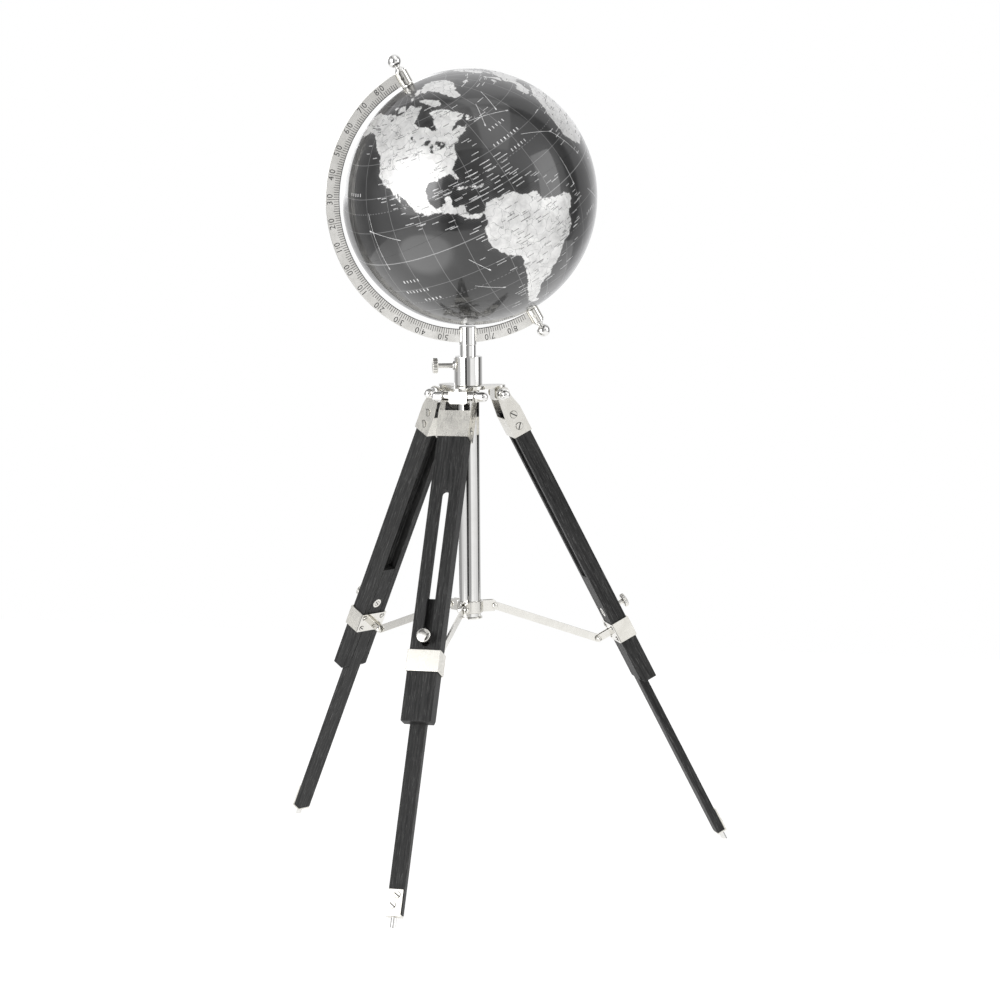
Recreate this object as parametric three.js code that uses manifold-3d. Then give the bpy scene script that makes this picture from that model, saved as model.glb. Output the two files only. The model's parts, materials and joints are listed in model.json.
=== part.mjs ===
// Desktop globe on a small folding tripod. Millimetres, +Z up, foot tips on z = 0.
// The three legs stand at azimuths 30, 150 and 270 degrees round the column.
// The globe's axis leans in the vertical plane at azimuth 30, towards azimuth 210.
import * as THREE from 'three';
import { mergeVertices } from 'three/addons/utils/BufferGeometryUtils.js';
import Module from 'manifold-3d';

const wasm = await Module();
wasm.setup();

const GAP = 0.3;
const DEG = Math.PI / 180;

// Globe, meridian ring and the finials that carry the globe.
const GLOBE_R = 100;
const SHELL = 2.5;
const AXIS_LEAN = 29.3;
const RING_Z = 528;
const RING_IN = 101.8;
const RING_OUT = 112.5;
const RING_THICK = 2;
const RING_OFFSET = 2.8;
const PIN_R = 1.4;
const SLEEVE_R = 5.2;
const SLEEVE_NEAR = 101.4;
const SLEEVE_FAR = 112.3;
const FINIAL_BALL_R = 5.2;
const FINIAL_BALL_AT = 121.3;

// Ferrule under the ring, mast and the socket that holds the mast.
const FERRULE_R = 6.8;
const FERRULE_LOW = 413.9;
const FERRULE_HIGH = 428.2;
const MAST_R = 6.4;
const MAST_IN = 4.9;
const MAST_LOW = 228;
const SOCKET_R = 11.2;
const SOCKET_LOW = 381.8;
const SOCKET_HIGH = 404.6;
const SCREW_Z = 397.5;
const SCREW_AZIMUTH = 200;

// Hub, column and spreader.
const PLATE_LOW = 378.7;
const PLATE_HIGH = 381.5;
const LOBE_R = 8;
const LOBE_AT = 22;
const LUG_HALF = 7.4;
const LUG_LOW = 369.6;
const LUG_ROUND = 2;
const COLUMN_R = 8.7;
const COLUMN_IN = 6.8;
const COLUMN_LOW = 197;
const COLLAR_LOW = 200;
const COLLAR_HIGH = 209.6;
const COLLAR_R = 10.5;
const COLLAR_IN = 9.05;
const ARM_PIVOT_R = 19.7;
const ARM_PIVOT_Z = 204.7;
const ARM_HALF_THICK = 0.8;
const ARM_HALF_HIGH = 3.1;

// Legs. Lengths run down the leg from its pivot, "out" is away from the column.
const LEG_AZIMUTHS = [30, 150, 270];
const LEG_TILT = 27.15;
const PIVOT_R = 25;
const PIVOT_Z = 375;
const WOOD_HALF_WIDE = 12;
const WOOD_HALF_DEEP = 6.7;
const WOOD_TOP = 16;
const WOOD_END = 265;
const CHANNEL_HALF_WIDE = 6.5;
const CHANNEL_FLOOR = 0.3;
const SLOT_TOP = 80;
const SLOT_END = 206;
const SLOT_HALF = 3.1;
const PLATE_THICK = 0.8;
const BRACKET_TOP = 14.5;
const BRACKET_END = 36;
const BAND_TOP = 209;
const BAND_END = 226;
const CLEVIS_AT = 216.6;
const CLEVIS_IN = 19.7;
const LOWER_HALF_WIDE = 6.2;
const LOWER_TOP = 166.3;
const LOWER_END = 411;
const KNOB_AT = 199.8;
const FOOT_PLATE_TOP = 392.4;
const STUD_R = 2.25;
const STUD_IN = 2.5;

const NICKEL = { color: 0xcfccc4, roughness: 0.28, metalness: 1 };
const CHROME = { color: 0xd9dadb, roughness: 0.1, metalness: 1 };
const WOOD = { color: 0x2b2a2a, roughness: 0.5, metalness: 0 };
const GLOBE = { color: 0x3a3a3c, roughness: 0.15, metalness: 0 };

const group = new THREE.Group();
group.name = 'desktop_globe';

// Places: each is a matrix that carries a piece's own axes into the object's axes.
const turnZ = (degrees) => new THREE.Matrix4().makeRotationZ(degrees * DEG);
const turnY = (degrees) => new THREE.Matrix4().makeRotationY(degrees * DEG);
const shift = (x, y, z) => new THREE.Matrix4().makeTranslation(x, y, z);
const upright = new THREE.Matrix4();
const headPlace = turnZ(LEG_AZIMUTHS[0]);
// Globe axes: z along the globe's axis to the north, x away from the ring's back, y across.
const globeX = RING_OFFSET * Math.cos(AXIS_LEAN * DEG);
const globeZ = RING_Z + RING_OFFSET * Math.sin(AXIS_LEAN * DEG);
const globePlace = turnZ(LEG_AZIMUTHS[0])
  .multiply(shift(globeX, 0, globeZ))
  .multiply(turnY(-AXIS_LEAN));
// Leg axes: z up the leg, x outwards, y across, with the pivot at the origin.
const legPlace = (azimuth) => turnZ(azimuth).multiply(shift(PIVOT_R, 0, PIVOT_Z)).multiply(turnY(-LEG_TILT));

function armSlope() {
  const tilt = LEG_TILT * DEG;
  const outerR = PIVOT_R + CLEVIS_AT * Math.sin(tilt) - CLEVIS_IN * Math.cos(tilt);
  const outerZ = PIVOT_Z - CLEVIS_AT * Math.cos(tilt) - CLEVIS_IN * Math.sin(tilt);
  const run = outerR - ARM_PIVOT_R;
  const drop = ARM_PIVOT_Z - outerZ;
  return { length: Math.hypot(run, drop), angle: Math.atan2(drop, run) / DEG };
}

const ARM = armSlope();
const armPlace = (azimuth) =>
  turnZ(azimuth).multiply(shift(ARM_PIVOT_R, 0, ARM_PIVOT_Z)).multiply(turnY(ARM.angle));

// Solids. Every maker returns a manifold solid, so that they can be joined and cut.
function solid(geometry) {
  const bare = geometry.clone();
  bare.deleteAttribute('normal');
  bare.deleteAttribute('uv');
  const merged = mergeVertices(bare, 1e-5);
  const index = merged.index.array;
  const position = merged.attributes.position.array;
  const kept = [];
  for (let i = 0; i < index.length; i += 3) {
    const [a, b, c] = [index[i], index[i + 1], index[i + 2]];
    if (a !== b && b !== c && c !== a) kept.push(a, b, c);
  }
  return new wasm.Manifold(new wasm.Mesh({
    numProp: 3,
    vertProperties: new Float32Array(position),
    triVerts: new Uint32Array(kept),
  }));
}

function box(x0, x1, y0, y1, z0, z1) {
  const geometry = new THREE.BoxGeometry(x1 - x0, y1 - y0, z1 - z0);
  geometry.translate((x0 + x1) / 2, (y0 + y1) / 2, (z0 + z1) / 2);
  return solid(geometry);
}

// A turned solid about z. The profile is a list of [radius, z] and is closed here.
function turned(profile, sides = 32) {
  const points = [...profile, profile[0]].map(([r, z]) => new THREE.Vector2(r, z));
  return solid(new THREE.LatheGeometry(points, sides).rotateX(Math.PI / 2));
}

const rod = (r, z0, z1, sides = 16) => turned([[0, z0], [r, z0], [r, z1], [0, z1]], sides);
const tube = (rIn, rOut, z0, z1, sides = 24) =>
  turned([[rIn, z0], [rOut, z0], [rOut, z1], [rIn, z1]], sides);

function placed(item, matrix) {
  return item.transform(matrix.elements);
}

// Swings a solid made along z so that it lies along x, or along y.
const alongX = (item) => placed(item, turnY(90));
const alongY = (item) => placed(item, new THREE.Matrix4().makeRotationX(-90 * DEG));
const moved = (item, x, y, z) => placed(item, shift(x, y, z));

// An outline in the x and z axes, given thickness along y.
function slab(shape, y0, y1, curveSegments = 6) {
  const geometry = new THREE.ExtrudeGeometry(shape, { depth: y1 - y0, bevelEnabled: false, curveSegments });
  geometry.rotateX(Math.PI / 2);
  geometry.translate(0, y1, 0);
  return solid(geometry);
}

function outline(points) {
  return new THREE.Shape(points.map(([a, b]) => new THREE.Vector2(a, b)));
}

const joined = (items) => items.reduce((sum, item) => sum.add(item));

function add(name, item, look, place = upright) {
  const whole = placed(item, place);
  const mesh = whole.getMesh();
  const geometry = new THREE.BufferGeometry();
  geometry.setAttribute('position', new THREE.BufferAttribute(new Float32Array(mesh.vertProperties), 3));
  geometry.setIndex(new THREE.BufferAttribute(new Uint32Array(mesh.triVerts), 1));
  geometry.computeVertexNormals();
  const node = new THREE.Mesh(geometry, new THREE.MeshStandardMaterial(look));
  node.name = name;
  group.add(node);
}

// Globe: two shells that meet at the equator, with a bearing bush at each pole.
function globeShell() {
  const hole = 3.2;
  const profile = [];
  const outerSteps = 10;
  const innerSteps = 5;
  for (let i = 0; i <= outerSteps; i += 1) {
    const z = GAP / 2;
    const low = Math.asin(z / GLOBE_R);
    const high = Math.acos(hole / GLOBE_R);
    const angle = low + ((high - low) * i) / outerSteps;
    profile.push([GLOBE_R * Math.cos(angle), GLOBE_R * Math.sin(angle)]);
  }
  const inner = GLOBE_R - SHELL;
  for (let i = innerSteps; i >= 0; i -= 1) {
    const low = Math.asin(GAP / 2 / inner);
    const high = Math.acos(hole / inner);
    const angle = low + ((high - low) * i) / innerSteps;
    profile.push([inner * Math.cos(angle), inner * Math.sin(angle)]);
  }
  return turned(profile, 48);
}

function bearing() {
  return turned([[1.75, 96], [2.8, 96], [2.8, 100.3], [5, 100.3], [4.6, 101], [1.75, 101]], 14);
}

const SLEEVE_MIDDLE = (SLEEVE_NEAR + SLEEVE_FAR) / 2;

function sleeve() {
  const body = tube(PIN_R + GAP + 0.05, SLEEVE_R, SLEEVE_NEAR, SLEEVE_FAR);
  return body.subtract(moved(alongX(rod(1.8, 0, 8, 10)), 0, 0, SLEEVE_MIDDLE));
}

function setScrew() {
  const screw = alongX(rod(1.5, PIN_R + GAP, SLEEVE_R + 0.1, 10));
  const slot = box(SLEEVE_R - 0.7, SLEEVE_R + 1, -0.25, 0.25, -3, 3);
  return moved(screw.subtract(slot), 0, 0, SLEEVE_MIDDLE);
}

function finial() {
  const profile = [[0, 90], [PIN_R, 90], [PIN_R, SLEEVE_FAR + GAP], [4.4, SLEEVE_FAR + GAP]];
  profile.push([4.4, SLEEVE_FAR + 1], [3.3, 114.4], [2.2, 115.6], [1.8, 116.42]);
  const steps = 7;
  for (let i = 0; i < steps; i += 1) {
    const angle = -69 + ((90 + 69) * i) / steps;
    const r = FINIAL_BALL_R * Math.cos(angle * DEG);
    profile.push([r, FINIAL_BALL_AT + FINIAL_BALL_R * Math.sin(angle * DEG)]);
  }
  profile.push([0, FINIAL_BALL_AT + FINIAL_BALL_R]);
  return turned(profile, 16);
}

const southward = new THREE.Matrix4().makeRotationY(Math.PI);
// The set screws face across the ring's plane, a little round towards the ring.
const SCREW_ROUND = 22;
const northScrewTurn = turnZ(-90 - SCREW_ROUND);
const southScrewTurn = turnZ(-90 + SCREW_ROUND);

function addHead() {
  add('globe_north_shell', globeShell(), GLOBE, globePlace);
  add('globe_south_shell', placed(globeShell(), southward), GLOBE, globePlace);
  add('globe_north_bearing', bearing(), NICKEL, globePlace);
  add('globe_south_bearing', placed(bearing(), southward), NICKEL, globePlace);
  add('sleeve_north', placed(sleeve(), northScrewTurn), NICKEL, globePlace);
  add('sleeve_south', placed(placed(sleeve(), southScrewTurn), southward), NICKEL, globePlace);
  add('set_screw_north', placed(setScrew(), northScrewTurn), NICKEL, globePlace);
  add('set_screw_south', placed(placed(setScrew(), southScrewTurn), southward), NICKEL, globePlace);
  add('finial_north', finial(), CHROME, globePlace);
  add('finial_south', placed(finial(), southward), CHROME, globePlace);
  add('meridian_ring', ring(), NICKEL, globePlace);
  add('ring_ferrule', ferrule(), CHROME, headPlace);
}

// Half-circle ring, flat, cut square beside the two sleeves.
function ring() {
  const clear = SLEEVE_R + GAP - RING_OFFSET;
  const startOut = 90 + Math.asin(clear / RING_OUT) / DEG;
  const startIn = 90 + Math.asin(clear / RING_IN) / DEG;
  const steps = 36;
  const points = [];
  for (let i = 0; i <= steps; i += 1) {
    const angle = (startOut + ((360 - 2 * startOut) * i) / steps) * DEG;
    points.push([RING_OUT * Math.cos(angle) - RING_OFFSET, RING_OUT * Math.sin(angle)]);
  }
  for (let i = steps; i >= 0; i -= 1) {
    const angle = (startIn + ((360 - 2 * startIn) * i) / steps) * DEG;
    points.push([RING_IN * Math.cos(angle) - RING_OFFSET, RING_IN * Math.sin(angle)]);
  }
  return slab(outline(points), -RING_THICK / 2, RING_THICK / 2);
}

// Slotted ferrule that grips the ring, with a spigot that turns in the mast.
function ferrule() {
  const profile = [[0, 396], [4.6, 396], [4.6, FERRULE_LOW], [FERRULE_R, FERRULE_LOW]];
  profile.push([FERRULE_R, FERRULE_HIGH - 0.8], [FERRULE_R - 0.8, FERRULE_HIGH], [0, FERRULE_HIGH]);
  const body = turned(profile, 24);
  const half = RING_THICK / 2 + GAP;
  return body.subtract(box(-20, 20, -half, half, RING_Z - RING_OUT - GAP, 440));
}

// Hub: three-lobed plate, and a lug under each lobe that a leg's bracket turns on.
function hub() {
  const parts = [rod(14, PLATE_LOW, PLATE_HIGH, 28)];
  for (const azimuth of LEG_AZIMUTHS) {
    const web = box(0, LOBE_AT, -LOBE_R, LOBE_R, PLATE_LOW, PLATE_HIGH);
    const tip = moved(rod(LOBE_R, PLATE_LOW, PLATE_HIGH, 16), LOBE_AT, 0, 0);
    const near = PIVOT_R - 5.4;
    const far = PIVOT_R + 5.4;
    const flat = LUG_HALF - LUG_ROUND;
    const upper = box(near, far, -LUG_HALF, LUG_HALF, LUG_LOW + LUG_ROUND, PLATE_LOW + 0.5);
    const lower = box(near, far, -flat, flat, LUG_LOW, PIVOT_Z);
    const corner = moved(alongX(rod(LUG_ROUND, near, far, 16)), 0, 0, LUG_LOW + LUG_ROUND);
    const lug = [upper, lower, moved(corner, 0, flat, 0), moved(corner, 0, -flat, 0)];
    const boss = moved(alongY(rod(4.2, -12, 12, 12)), PIVOT_R, 0, PIVOT_Z);
    const hole = moved(alongY(rod(2.8, -14, 14, 10)), PIVOT_R, 0, PIVOT_Z);
    parts.push(placed(joined([web, tip, ...lug, boss]).subtract(hole), turnZ(azimuth)));
  }
  return joined(parts).subtract(rod(COLUMN_R + GAP, 360, 400, 28));
}

// Acorn-ended bolt across the leg's ears.
function pivotBolt() {
  const ear = WOOD_HALF_WIDE + GAP + PLATE_THICK + GAP;
  const profile = [[0, 0], [2.5, 0], [2.5, ear], [4.7, ear], [4.7, ear + 1.2], [3.9, ear + 1.2]];
  profile.push([3.9, ear + 6]);
  for (const angle of [32, 64]) {
    profile.push([3.9 * Math.cos(angle * DEG), ear + 6 + 3.6 * Math.sin(angle * DEG)]);
  }
  profile.push([0, ear + 9.6]);
  const half = alongY(turned(profile, 12));
  return half.add(placed(half, turnZ(180)));
}

function socket() {
  const profile = [[6.7, SOCKET_LOW], [SOCKET_R, SOCKET_LOW], [SOCKET_R, SOCKET_HIGH - 0.8]];
  profile.push([SOCKET_R - 0.8, SOCKET_HIGH], [6.7, SOCKET_HIGH]);
  const flare = [[0, 9], [3.6, 9], [3.6, 11.9], [3.1, 12.4], [0, 12.4]];
  const boss = moved(alongX(turned(flare, 14)), 0, 0, SCREW_Z);
  const bore = rod(6.7, 380, 410, 28);
  const hole = moved(alongX(rod(2.25, 4, 20, 12)), 0, 0, SCREW_Z);
  return turned(profile, 28).add(boss.subtract(bore)).subtract(hole);
}

function mastThumbscrew() {
  const profile = [[0, 6.75], [1.9, 6.75], [1.9, 24], [5.2, 24], [5.8, 24.5]];
  profile.push([5.8, 27.6], [5.2, 28.1], [0, 28.1]);
  return moved(alongX(turned(profile, 18)), 0, 0, SCREW_Z);
}

function collar() {
  const body = turned([
    [COLLAR_IN, COLLAR_LOW], [COLLAR_R - 0.5, COLLAR_LOW], [COLLAR_R, COLLAR_LOW + 0.5],
    [COLLAR_R, COLLAR_HIGH - 0.5], [COLLAR_R - 0.5, COLLAR_HIGH], [COLLAR_IN, COLLAR_HIGH],
  ], 28);
  const ears = [];
  for (const azimuth of LEG_AZIMUTHS) {
    for (const side of [-1, 1]) {
      const y0 = side > 0 ? 1.2 : -2.6;
      const flat = box(9.6, ARM_PIVOT_R, y0, y0 + 1.4, COLLAR_LOW + 0.3, COLLAR_HIGH - 0.3);
      const nose = moved(alongY(rod(3.4, y0, y0 + 1.4, 12)), ARM_PIVOT_R, 0, ARM_PIVOT_Z);
      const hole = moved(alongY(rod(1.6, -5, 5, 10)), ARM_PIVOT_R, 0, ARM_PIVOT_Z);
      ears.push(placed(flat.add(nose).subtract(hole), turnZ(azimuth)));
    }
  }
  return joined([body, ...ears]).subtract(rod(COLLAR_IN, 190, 220, 28));
}

// Round-headed pin through the collar's ears and an arm.
function collarPin() {
  const half = [[0, 0], [1.3, 0], [1.3, 2.9], [2.4, 2.9], [2.1, 4], [1.2, 4.6], [0, 4.8]];
  const side = alongY(turned(half, 10));
  return moved(side.add(placed(side, turnZ(180))), ARM_PIVOT_R, 0, ARM_PIVOT_Z);
}

function arm() {
  const shape = new THREE.Shape();
  shape.moveTo(0, -ARM_HALF_HIGH);
  shape.lineTo(ARM.length, -ARM_HALF_HIGH);
  shape.absarc(ARM.length, 0, ARM_HALF_HIGH, -Math.PI / 2, Math.PI / 2, false);
  shape.lineTo(0, ARM_HALF_HIGH);
  shape.absarc(0, 0, ARM_HALF_HIGH, Math.PI / 2, (3 * Math.PI) / 2, false);
  const strip = slab(shape, -ARM_HALF_THICK, ARM_HALF_THICK, 6);
  return strip.subtract(alongY(rod(1.6, -3, 3, 10)));
}

// Upper leg: a channel open towards the column, slotted through its back for the knob.
function upperLeg() {
  const [wide, deep] = [WOOD_HALF_WIDE, WOOD_HALF_DEEP];
  const body = box(-deep, deep, -wide, wide, -WOOD_END, -WOOD_TOP);
  const inside = CHANNEL_HALF_WIDE;
  const channel = box(-20, CHANNEL_FLOOR, -inside, inside, -WOOD_END - 5, -WOOD_TOP + 5);
  const slot = box(-5, 20, -SLOT_HALF, SLOT_HALF, -SLOT_END + SLOT_HALF, -SLOT_TOP - SLOT_HALF);
  const slotEnds = [SLOT_TOP + SLOT_HALF, SLOT_END - SLOT_HALF].map((at) =>
    moved(alongX(rod(SLOT_HALF, -5, 20, 16)), 0, 0, -at));
  // The side walls' lower inner corners are cut off at a slant.
  const cutter = box(-10, 10, -20, 20, -20, 0);
  const cut = moved(placed(cutter, turnY(50)), -WOOD_HALF_DEEP, 0, -WOOD_END + 3.5);
  return body.subtract(channel).subtract(joined([slot, ...slotEnds])).subtract(cut);
}

const plateIn = WOOD_HALF_DEEP + GAP;
const plateOut = plateIn + PLATE_THICK;
const sideIn = WOOD_HALF_WIDE + GAP;
const sideOut = sideIn + PLATE_THICK;

function screwHead(x, y, z, r = 2.6) {
  const head = turned([[0, -0.5], [r, -0.5], [r, 0.15], [r - 0.6, 0.45], [0, 0.45]], 10);
  return moved(alongY(head), x, y, z);
}

// Bracket: a sleeve of plate round the leg's top, with an ear up each side to the pivot.
function bracket() {
  const tall = [-BRACKET_END, -BRACKET_TOP];
  const outer = box(plateIn, plateOut, -sideOut, sideOut, ...tall);
  const inner = box(-plateOut, -plateIn, -sideOut, sideOut, -BRACKET_END, -19);
  const parts = [outer, inner];
  for (const side of [-1, 1]) {
    const [y0, y1] = side > 0 ? [sideIn, sideOut] : [-sideOut, -sideIn];
    const ear = new THREE.Shape();
    ear.moveTo(-plateOut, -BRACKET_END);
    ear.lineTo(plateOut, -BRACKET_END);
    ear.lineTo(plateOut, -BRACKET_TOP);
    ear.lineTo(5.4, -4.6);
    ear.absarc(0, 0, 5.6, -20 * DEG, 200 * DEG, false);
    ear.lineTo(-6.4, -9);
    ear.lineTo(-plateOut, -19);
    const hole = alongY(rod(2.8, -20, 20, 10));
    parts.push(slab(ear, y0, y1).subtract(hole));
    const headY = side > 0 ? sideOut : -sideOut;
    const turn = side > 0 ? 0 : 180;
    for (const at of [18.4, 28.8]) {
      parts.push(moved(placed(screwHead(0, 0, 0, 2.7), turnZ(turn)), 0, headY, -at));
    }
  }
  return joined(parts);
}

// Band: a strap round the back and sides of the upper leg.
function band() {
  const back = box(plateIn, plateOut, -sideOut, sideOut, -BAND_END, -BAND_TOP);
  const sides = [[sideIn, sideOut], [-sideOut, -sideIn]].map(([y0, y1]) =>
    box(-WOOD_HALF_DEEP, plateOut, y0, y1, -BAND_END, -BAND_TOP));
  return joined([back, ...sides]);
}

// Cross plate over the channel, with two ears. The rivet is peened in each ear and
// leaves the slit between them free for the arm.
function clevis() {
  const parts = [box(-plateOut, -plateIn, -sideOut, sideOut, -BAND_END, -BAND_TOP)];
  for (const side of [-1, 1]) {
    const [y0, y1] = side > 0 ? [1.4, 2.8] : [-2.8, -1.4];
    parts.push(box(-CLEVIS_IN, -plateIn, y0, y1, -CLEVIS_AT - 2.6, -CLEVIS_AT + 2.6));
    parts.push(moved(alongY(rod(2.6, y0, y1, 12)), -CLEVIS_IN, 0, -CLEVIS_AT));
    const head = turned([[0, 2.6], [2.2, 2.6], [2, 3.9], [1.2, 4.6], [0, 4.8]], 10);
    parts.push(moved(placed(alongY(head), turnZ(side > 0 ? 0 : 180)), -CLEVIS_IN, 0, -CLEVIS_AT));
    for (const at of [BAND_TOP + 3.6, BAND_END - 3.6]) {
      const screw = placed(screwHead(0, 0, 0, 1.9), turnZ(90));
      parts.push(moved(screw, -plateOut, side * 9.4, -at));
    }
  }
  return joined(parts);
}

// Lower leg: a bar that slides in the channel, bored for the knob's screw.
function lowerLeg() {
  const body = box(-WOOD_HALF_DEEP, 0, -LOWER_HALF_WIDE, LOWER_HALF_WIDE, -LOWER_END, -LOWER_TOP);
  const hole = moved(alongX(rod(2.4, -20, 20, 10)), 0, 0, -KNOB_AT);
  const recess = moved(alongX(rod(4.4, -20, -5.1, 12)), 0, 0, -KNOB_AT);
  return body.subtract(hole).subtract(recess);
}

function legNut() {
  return moved(alongX(tube(2.3, 4.1, -WOOD_HALF_DEEP + 0.1, -5.4, 12)), 0, 0, -KNOB_AT);
}

function legKnob() {
  const profile = [[0, -6.5], [2, -6.5], [2, 11.8], [4.8, 11.8], [5.4, 12.3]];
  profile.push([5.4, 14.8], [4.8, 15.3], [0, 15.3]);
  return moved(alongX(turned(profile, 18)), 0, 0, -KNOB_AT);
}

// Foot: an angle plate screwed to the bar, with its foot under the bar's end.
function footPlate() {
  const back = box(GAP, GAP + 1.3, -5.7, 5.7, -LOWER_END - 1.6, -FOOT_PLATE_TOP);
  const flange = box(-WOOD_HALF_DEEP, GAP + 1.3, -6, 6, -LOWER_END - 1.6, -LOWER_END - GAP);
  const heads = [[1.4, 396.6], [-1.2, 404.4]].map(([y, at]) => {
    const head = placed(screwHead(0, 0, 0, 2.4), turnZ(-90));
    return moved(head, GAP + 1.3, y, -at);
  });
  return joined([back, flange, ...heads]);
}

// Foot stud, cut flat where it stands on z = 0.
function footStud(azimuth) {
  const top = LOWER_END + 1.6 + GAP;
  const stud = placed(moved(rod(STUD_R, -top - 20, -top, 14), -STUD_IN, 0, 0), legPlace(azimuth));
  return stud.subtract(box(-400, 400, -400, 400, -100, 0));
}

function addStand() {
  add('mast_tube', tube(MAST_IN, MAST_R, MAST_LOW, FERRULE_LOW - GAP), CHROME);
  add('hub_plate', hub(), NICKEL);
  add('mast_socket', placed(socket(), turnZ(SCREW_AZIMUTH)), CHROME);
  add('mast_thumbscrew', placed(mastThumbscrew(), turnZ(SCREW_AZIMUTH)), NICKEL);
  add('column_tube', tube(COLUMN_IN, COLUMN_R, COLUMN_LOW, PLATE_HIGH, 28), CHROME);
  add('column_end_ring', turned([
    [6.4, 195.4], [9.8, 195.4], [9.8, COLUMN_LOW - GAP], [6.4, COLUMN_LOW - GAP],
  ], 24), NICKEL);
  add('spreader_collar', collar(), NICKEL);
  LEG_AZIMUTHS.forEach((azimuth, i) => {
    const number = i + 1;
    const legAt = legPlace(azimuth);
    add(`spreader_pin_${number}`, collarPin(), NICKEL, turnZ(azimuth));
    add(`spreader_arm_${number}`, arm(), NICKEL, armPlace(azimuth));
    add(`pivot_bolt_${number}`, pivotBolt(), CHROME, turnZ(azimuth).multiply(shift(PIVOT_R, 0, PIVOT_Z)));
    add(`leg_bracket_${number}`, bracket(), NICKEL, legAt);
    add(`upper_leg_${number}`, upperLeg(), WOOD, legAt);
    add(`leg_band_${number}`, band(), NICKEL, legAt);
    add(`arm_clevis_${number}`, clevis(), NICKEL, legAt);
    add(`lower_leg_${number}`, lowerLeg(), WOOD, legAt);
    add(`leg_nut_${number}`, legNut(), NICKEL, legAt);
    add(`leg_knob_${number}`, legKnob(), NICKEL, legAt);
    add(`foot_plate_${number}`, footPlate(), NICKEL, legAt);
    add(`foot_stud_${number}`, footStud(azimuth), NICKEL);
  });
}

addHead();
addStand();

// The object's origin is the middle of its box, on the floor.
group.updateMatrixWorld(true);
const centre = new THREE.Box3().setFromObject(group).getCenter(new THREE.Vector3());
for (const node of group.children) node.geometry.translate(-centre.x, -centre.y, 0);

export default group;
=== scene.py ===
"""Desktop globe on a small folding tripod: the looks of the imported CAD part.

Lengths are millimetres in the makers below and become metres when a piece is made.
"""
import json
import math
import random
from contextlib import contextmanager

import bmesh
import bpy
import numpy as np
from mathutils import Matrix, Vector


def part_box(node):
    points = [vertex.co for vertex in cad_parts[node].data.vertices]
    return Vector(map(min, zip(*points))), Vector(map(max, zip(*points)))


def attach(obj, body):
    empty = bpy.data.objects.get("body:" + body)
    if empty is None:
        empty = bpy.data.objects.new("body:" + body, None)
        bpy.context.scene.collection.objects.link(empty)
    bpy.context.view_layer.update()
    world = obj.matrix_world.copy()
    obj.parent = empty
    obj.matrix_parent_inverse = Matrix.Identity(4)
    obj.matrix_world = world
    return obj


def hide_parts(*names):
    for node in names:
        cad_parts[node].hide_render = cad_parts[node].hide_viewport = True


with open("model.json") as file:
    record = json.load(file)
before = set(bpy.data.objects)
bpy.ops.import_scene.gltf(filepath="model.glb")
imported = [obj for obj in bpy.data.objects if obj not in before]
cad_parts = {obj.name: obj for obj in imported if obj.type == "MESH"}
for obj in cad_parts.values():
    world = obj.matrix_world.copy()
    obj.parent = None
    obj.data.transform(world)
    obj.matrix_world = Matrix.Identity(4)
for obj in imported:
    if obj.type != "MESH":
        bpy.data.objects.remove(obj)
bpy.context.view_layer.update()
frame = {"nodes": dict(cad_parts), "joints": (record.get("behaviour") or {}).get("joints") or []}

MM = 0.001
JOINTS = {joint["name"]: joint for joint in frame["joints"]}
LEG_NUMBERS = (1, 2, 3)

# ---- places


def turned(degrees, axis):
    return Matrix.Rotation(math.radians(degrees), 4, axis)


def axes_matrix(origin, z_axis, y_hint):
    """A frame at origin with its z along z_axis and its y as near y_hint as it can be."""
    z = Vector(z_axis).normalized()
    x = Vector(y_hint).cross(z).normalized()
    y = z.cross(x)
    rotation = Matrix((x, y, z)).transposed().to_4x4()
    return Matrix.Translation(Vector(origin)) @ rotation


COLUMN = sum(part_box("column_tube"), Vector((0, 0, 0))) / 2
STAND = Matrix.Translation((COLUMN.x, COLUMN.y, 0))


def leg_place(number):
    """z up the leg, x outwards, y across, with the leg's pivot at the origin."""
    fold = JOINTS[f"fold_{number}"]
    slide = JOINTS[f"leg_slide_{number}"]
    return axes_matrix(fold["pos_m"], slide["axis"], fold["axis"])


def leg_azimuth(number):
    """The way a leg points over the floor, in degrees from x."""
    outwards = LEG[number].to_3x3() @ Vector((1, 0, 0))
    return math.degrees(math.atan2(outwards.y, outwards.x))


LEG = {number: leg_place(number) for number in LEG_NUMBERS}
AXIS = Vector(JOINTS["globe_spin"]["axis"])
GLOBE = axes_matrix(JOINTS["globe_spin"]["pos_m"], AXIS, Vector((0, 0, 1)).cross(-AXIS))
SOUTH = GLOBE @ turned(180, "Y")
SCREW = axes_matrix(
    (COLUMN.x, COLUMN.y, JOINTS["thumbscrew_turn"]["pos_m"][2]),
    JOINTS["thumbscrew_turn"]["axis"],
    (0, 0, 1),
)
# From the thumbscrew's axes to the stand's, in millimetres.
STAND_FROM_SCREW = Matrix.Translation((0, 0, SCREW.translation.z / MM)) @ SCREW.to_3x3().to_4x4()
# The grip under the ring has its slot this far round from x, in degrees.
GRIP_SLOT_AZIMUTH = 30
HEAD = STAND @ turned(GRIP_SLOT_AZIMUTH, "Z")

# ---- mesh makers

# The faces of a box whose corners go round its foot and then round its top.
BOX_FACES = [(3, 2, 1, 0), (4, 5, 6, 7), (0, 1, 5, 4), (1, 2, 6, 5), (2, 3, 7, 6), (3, 0, 4, 7)]


class Shape:
    """Vertices in millimetres and faces, joined up piece by piece."""

    def __init__(self):
        self.verts = []
        self.faces = []

    def put(self, verts, faces, matrix=None):
        start = len(self.verts)
        for v in verts:
            self.verts.append(tuple(matrix @ Vector(v)) if matrix else tuple(v))
        self.faces += [tuple(start + i for i in face) for face in faces]
        return self

    def add(self, other, matrix=None):
        return self.put(other.verts, other.faces, matrix)


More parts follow.
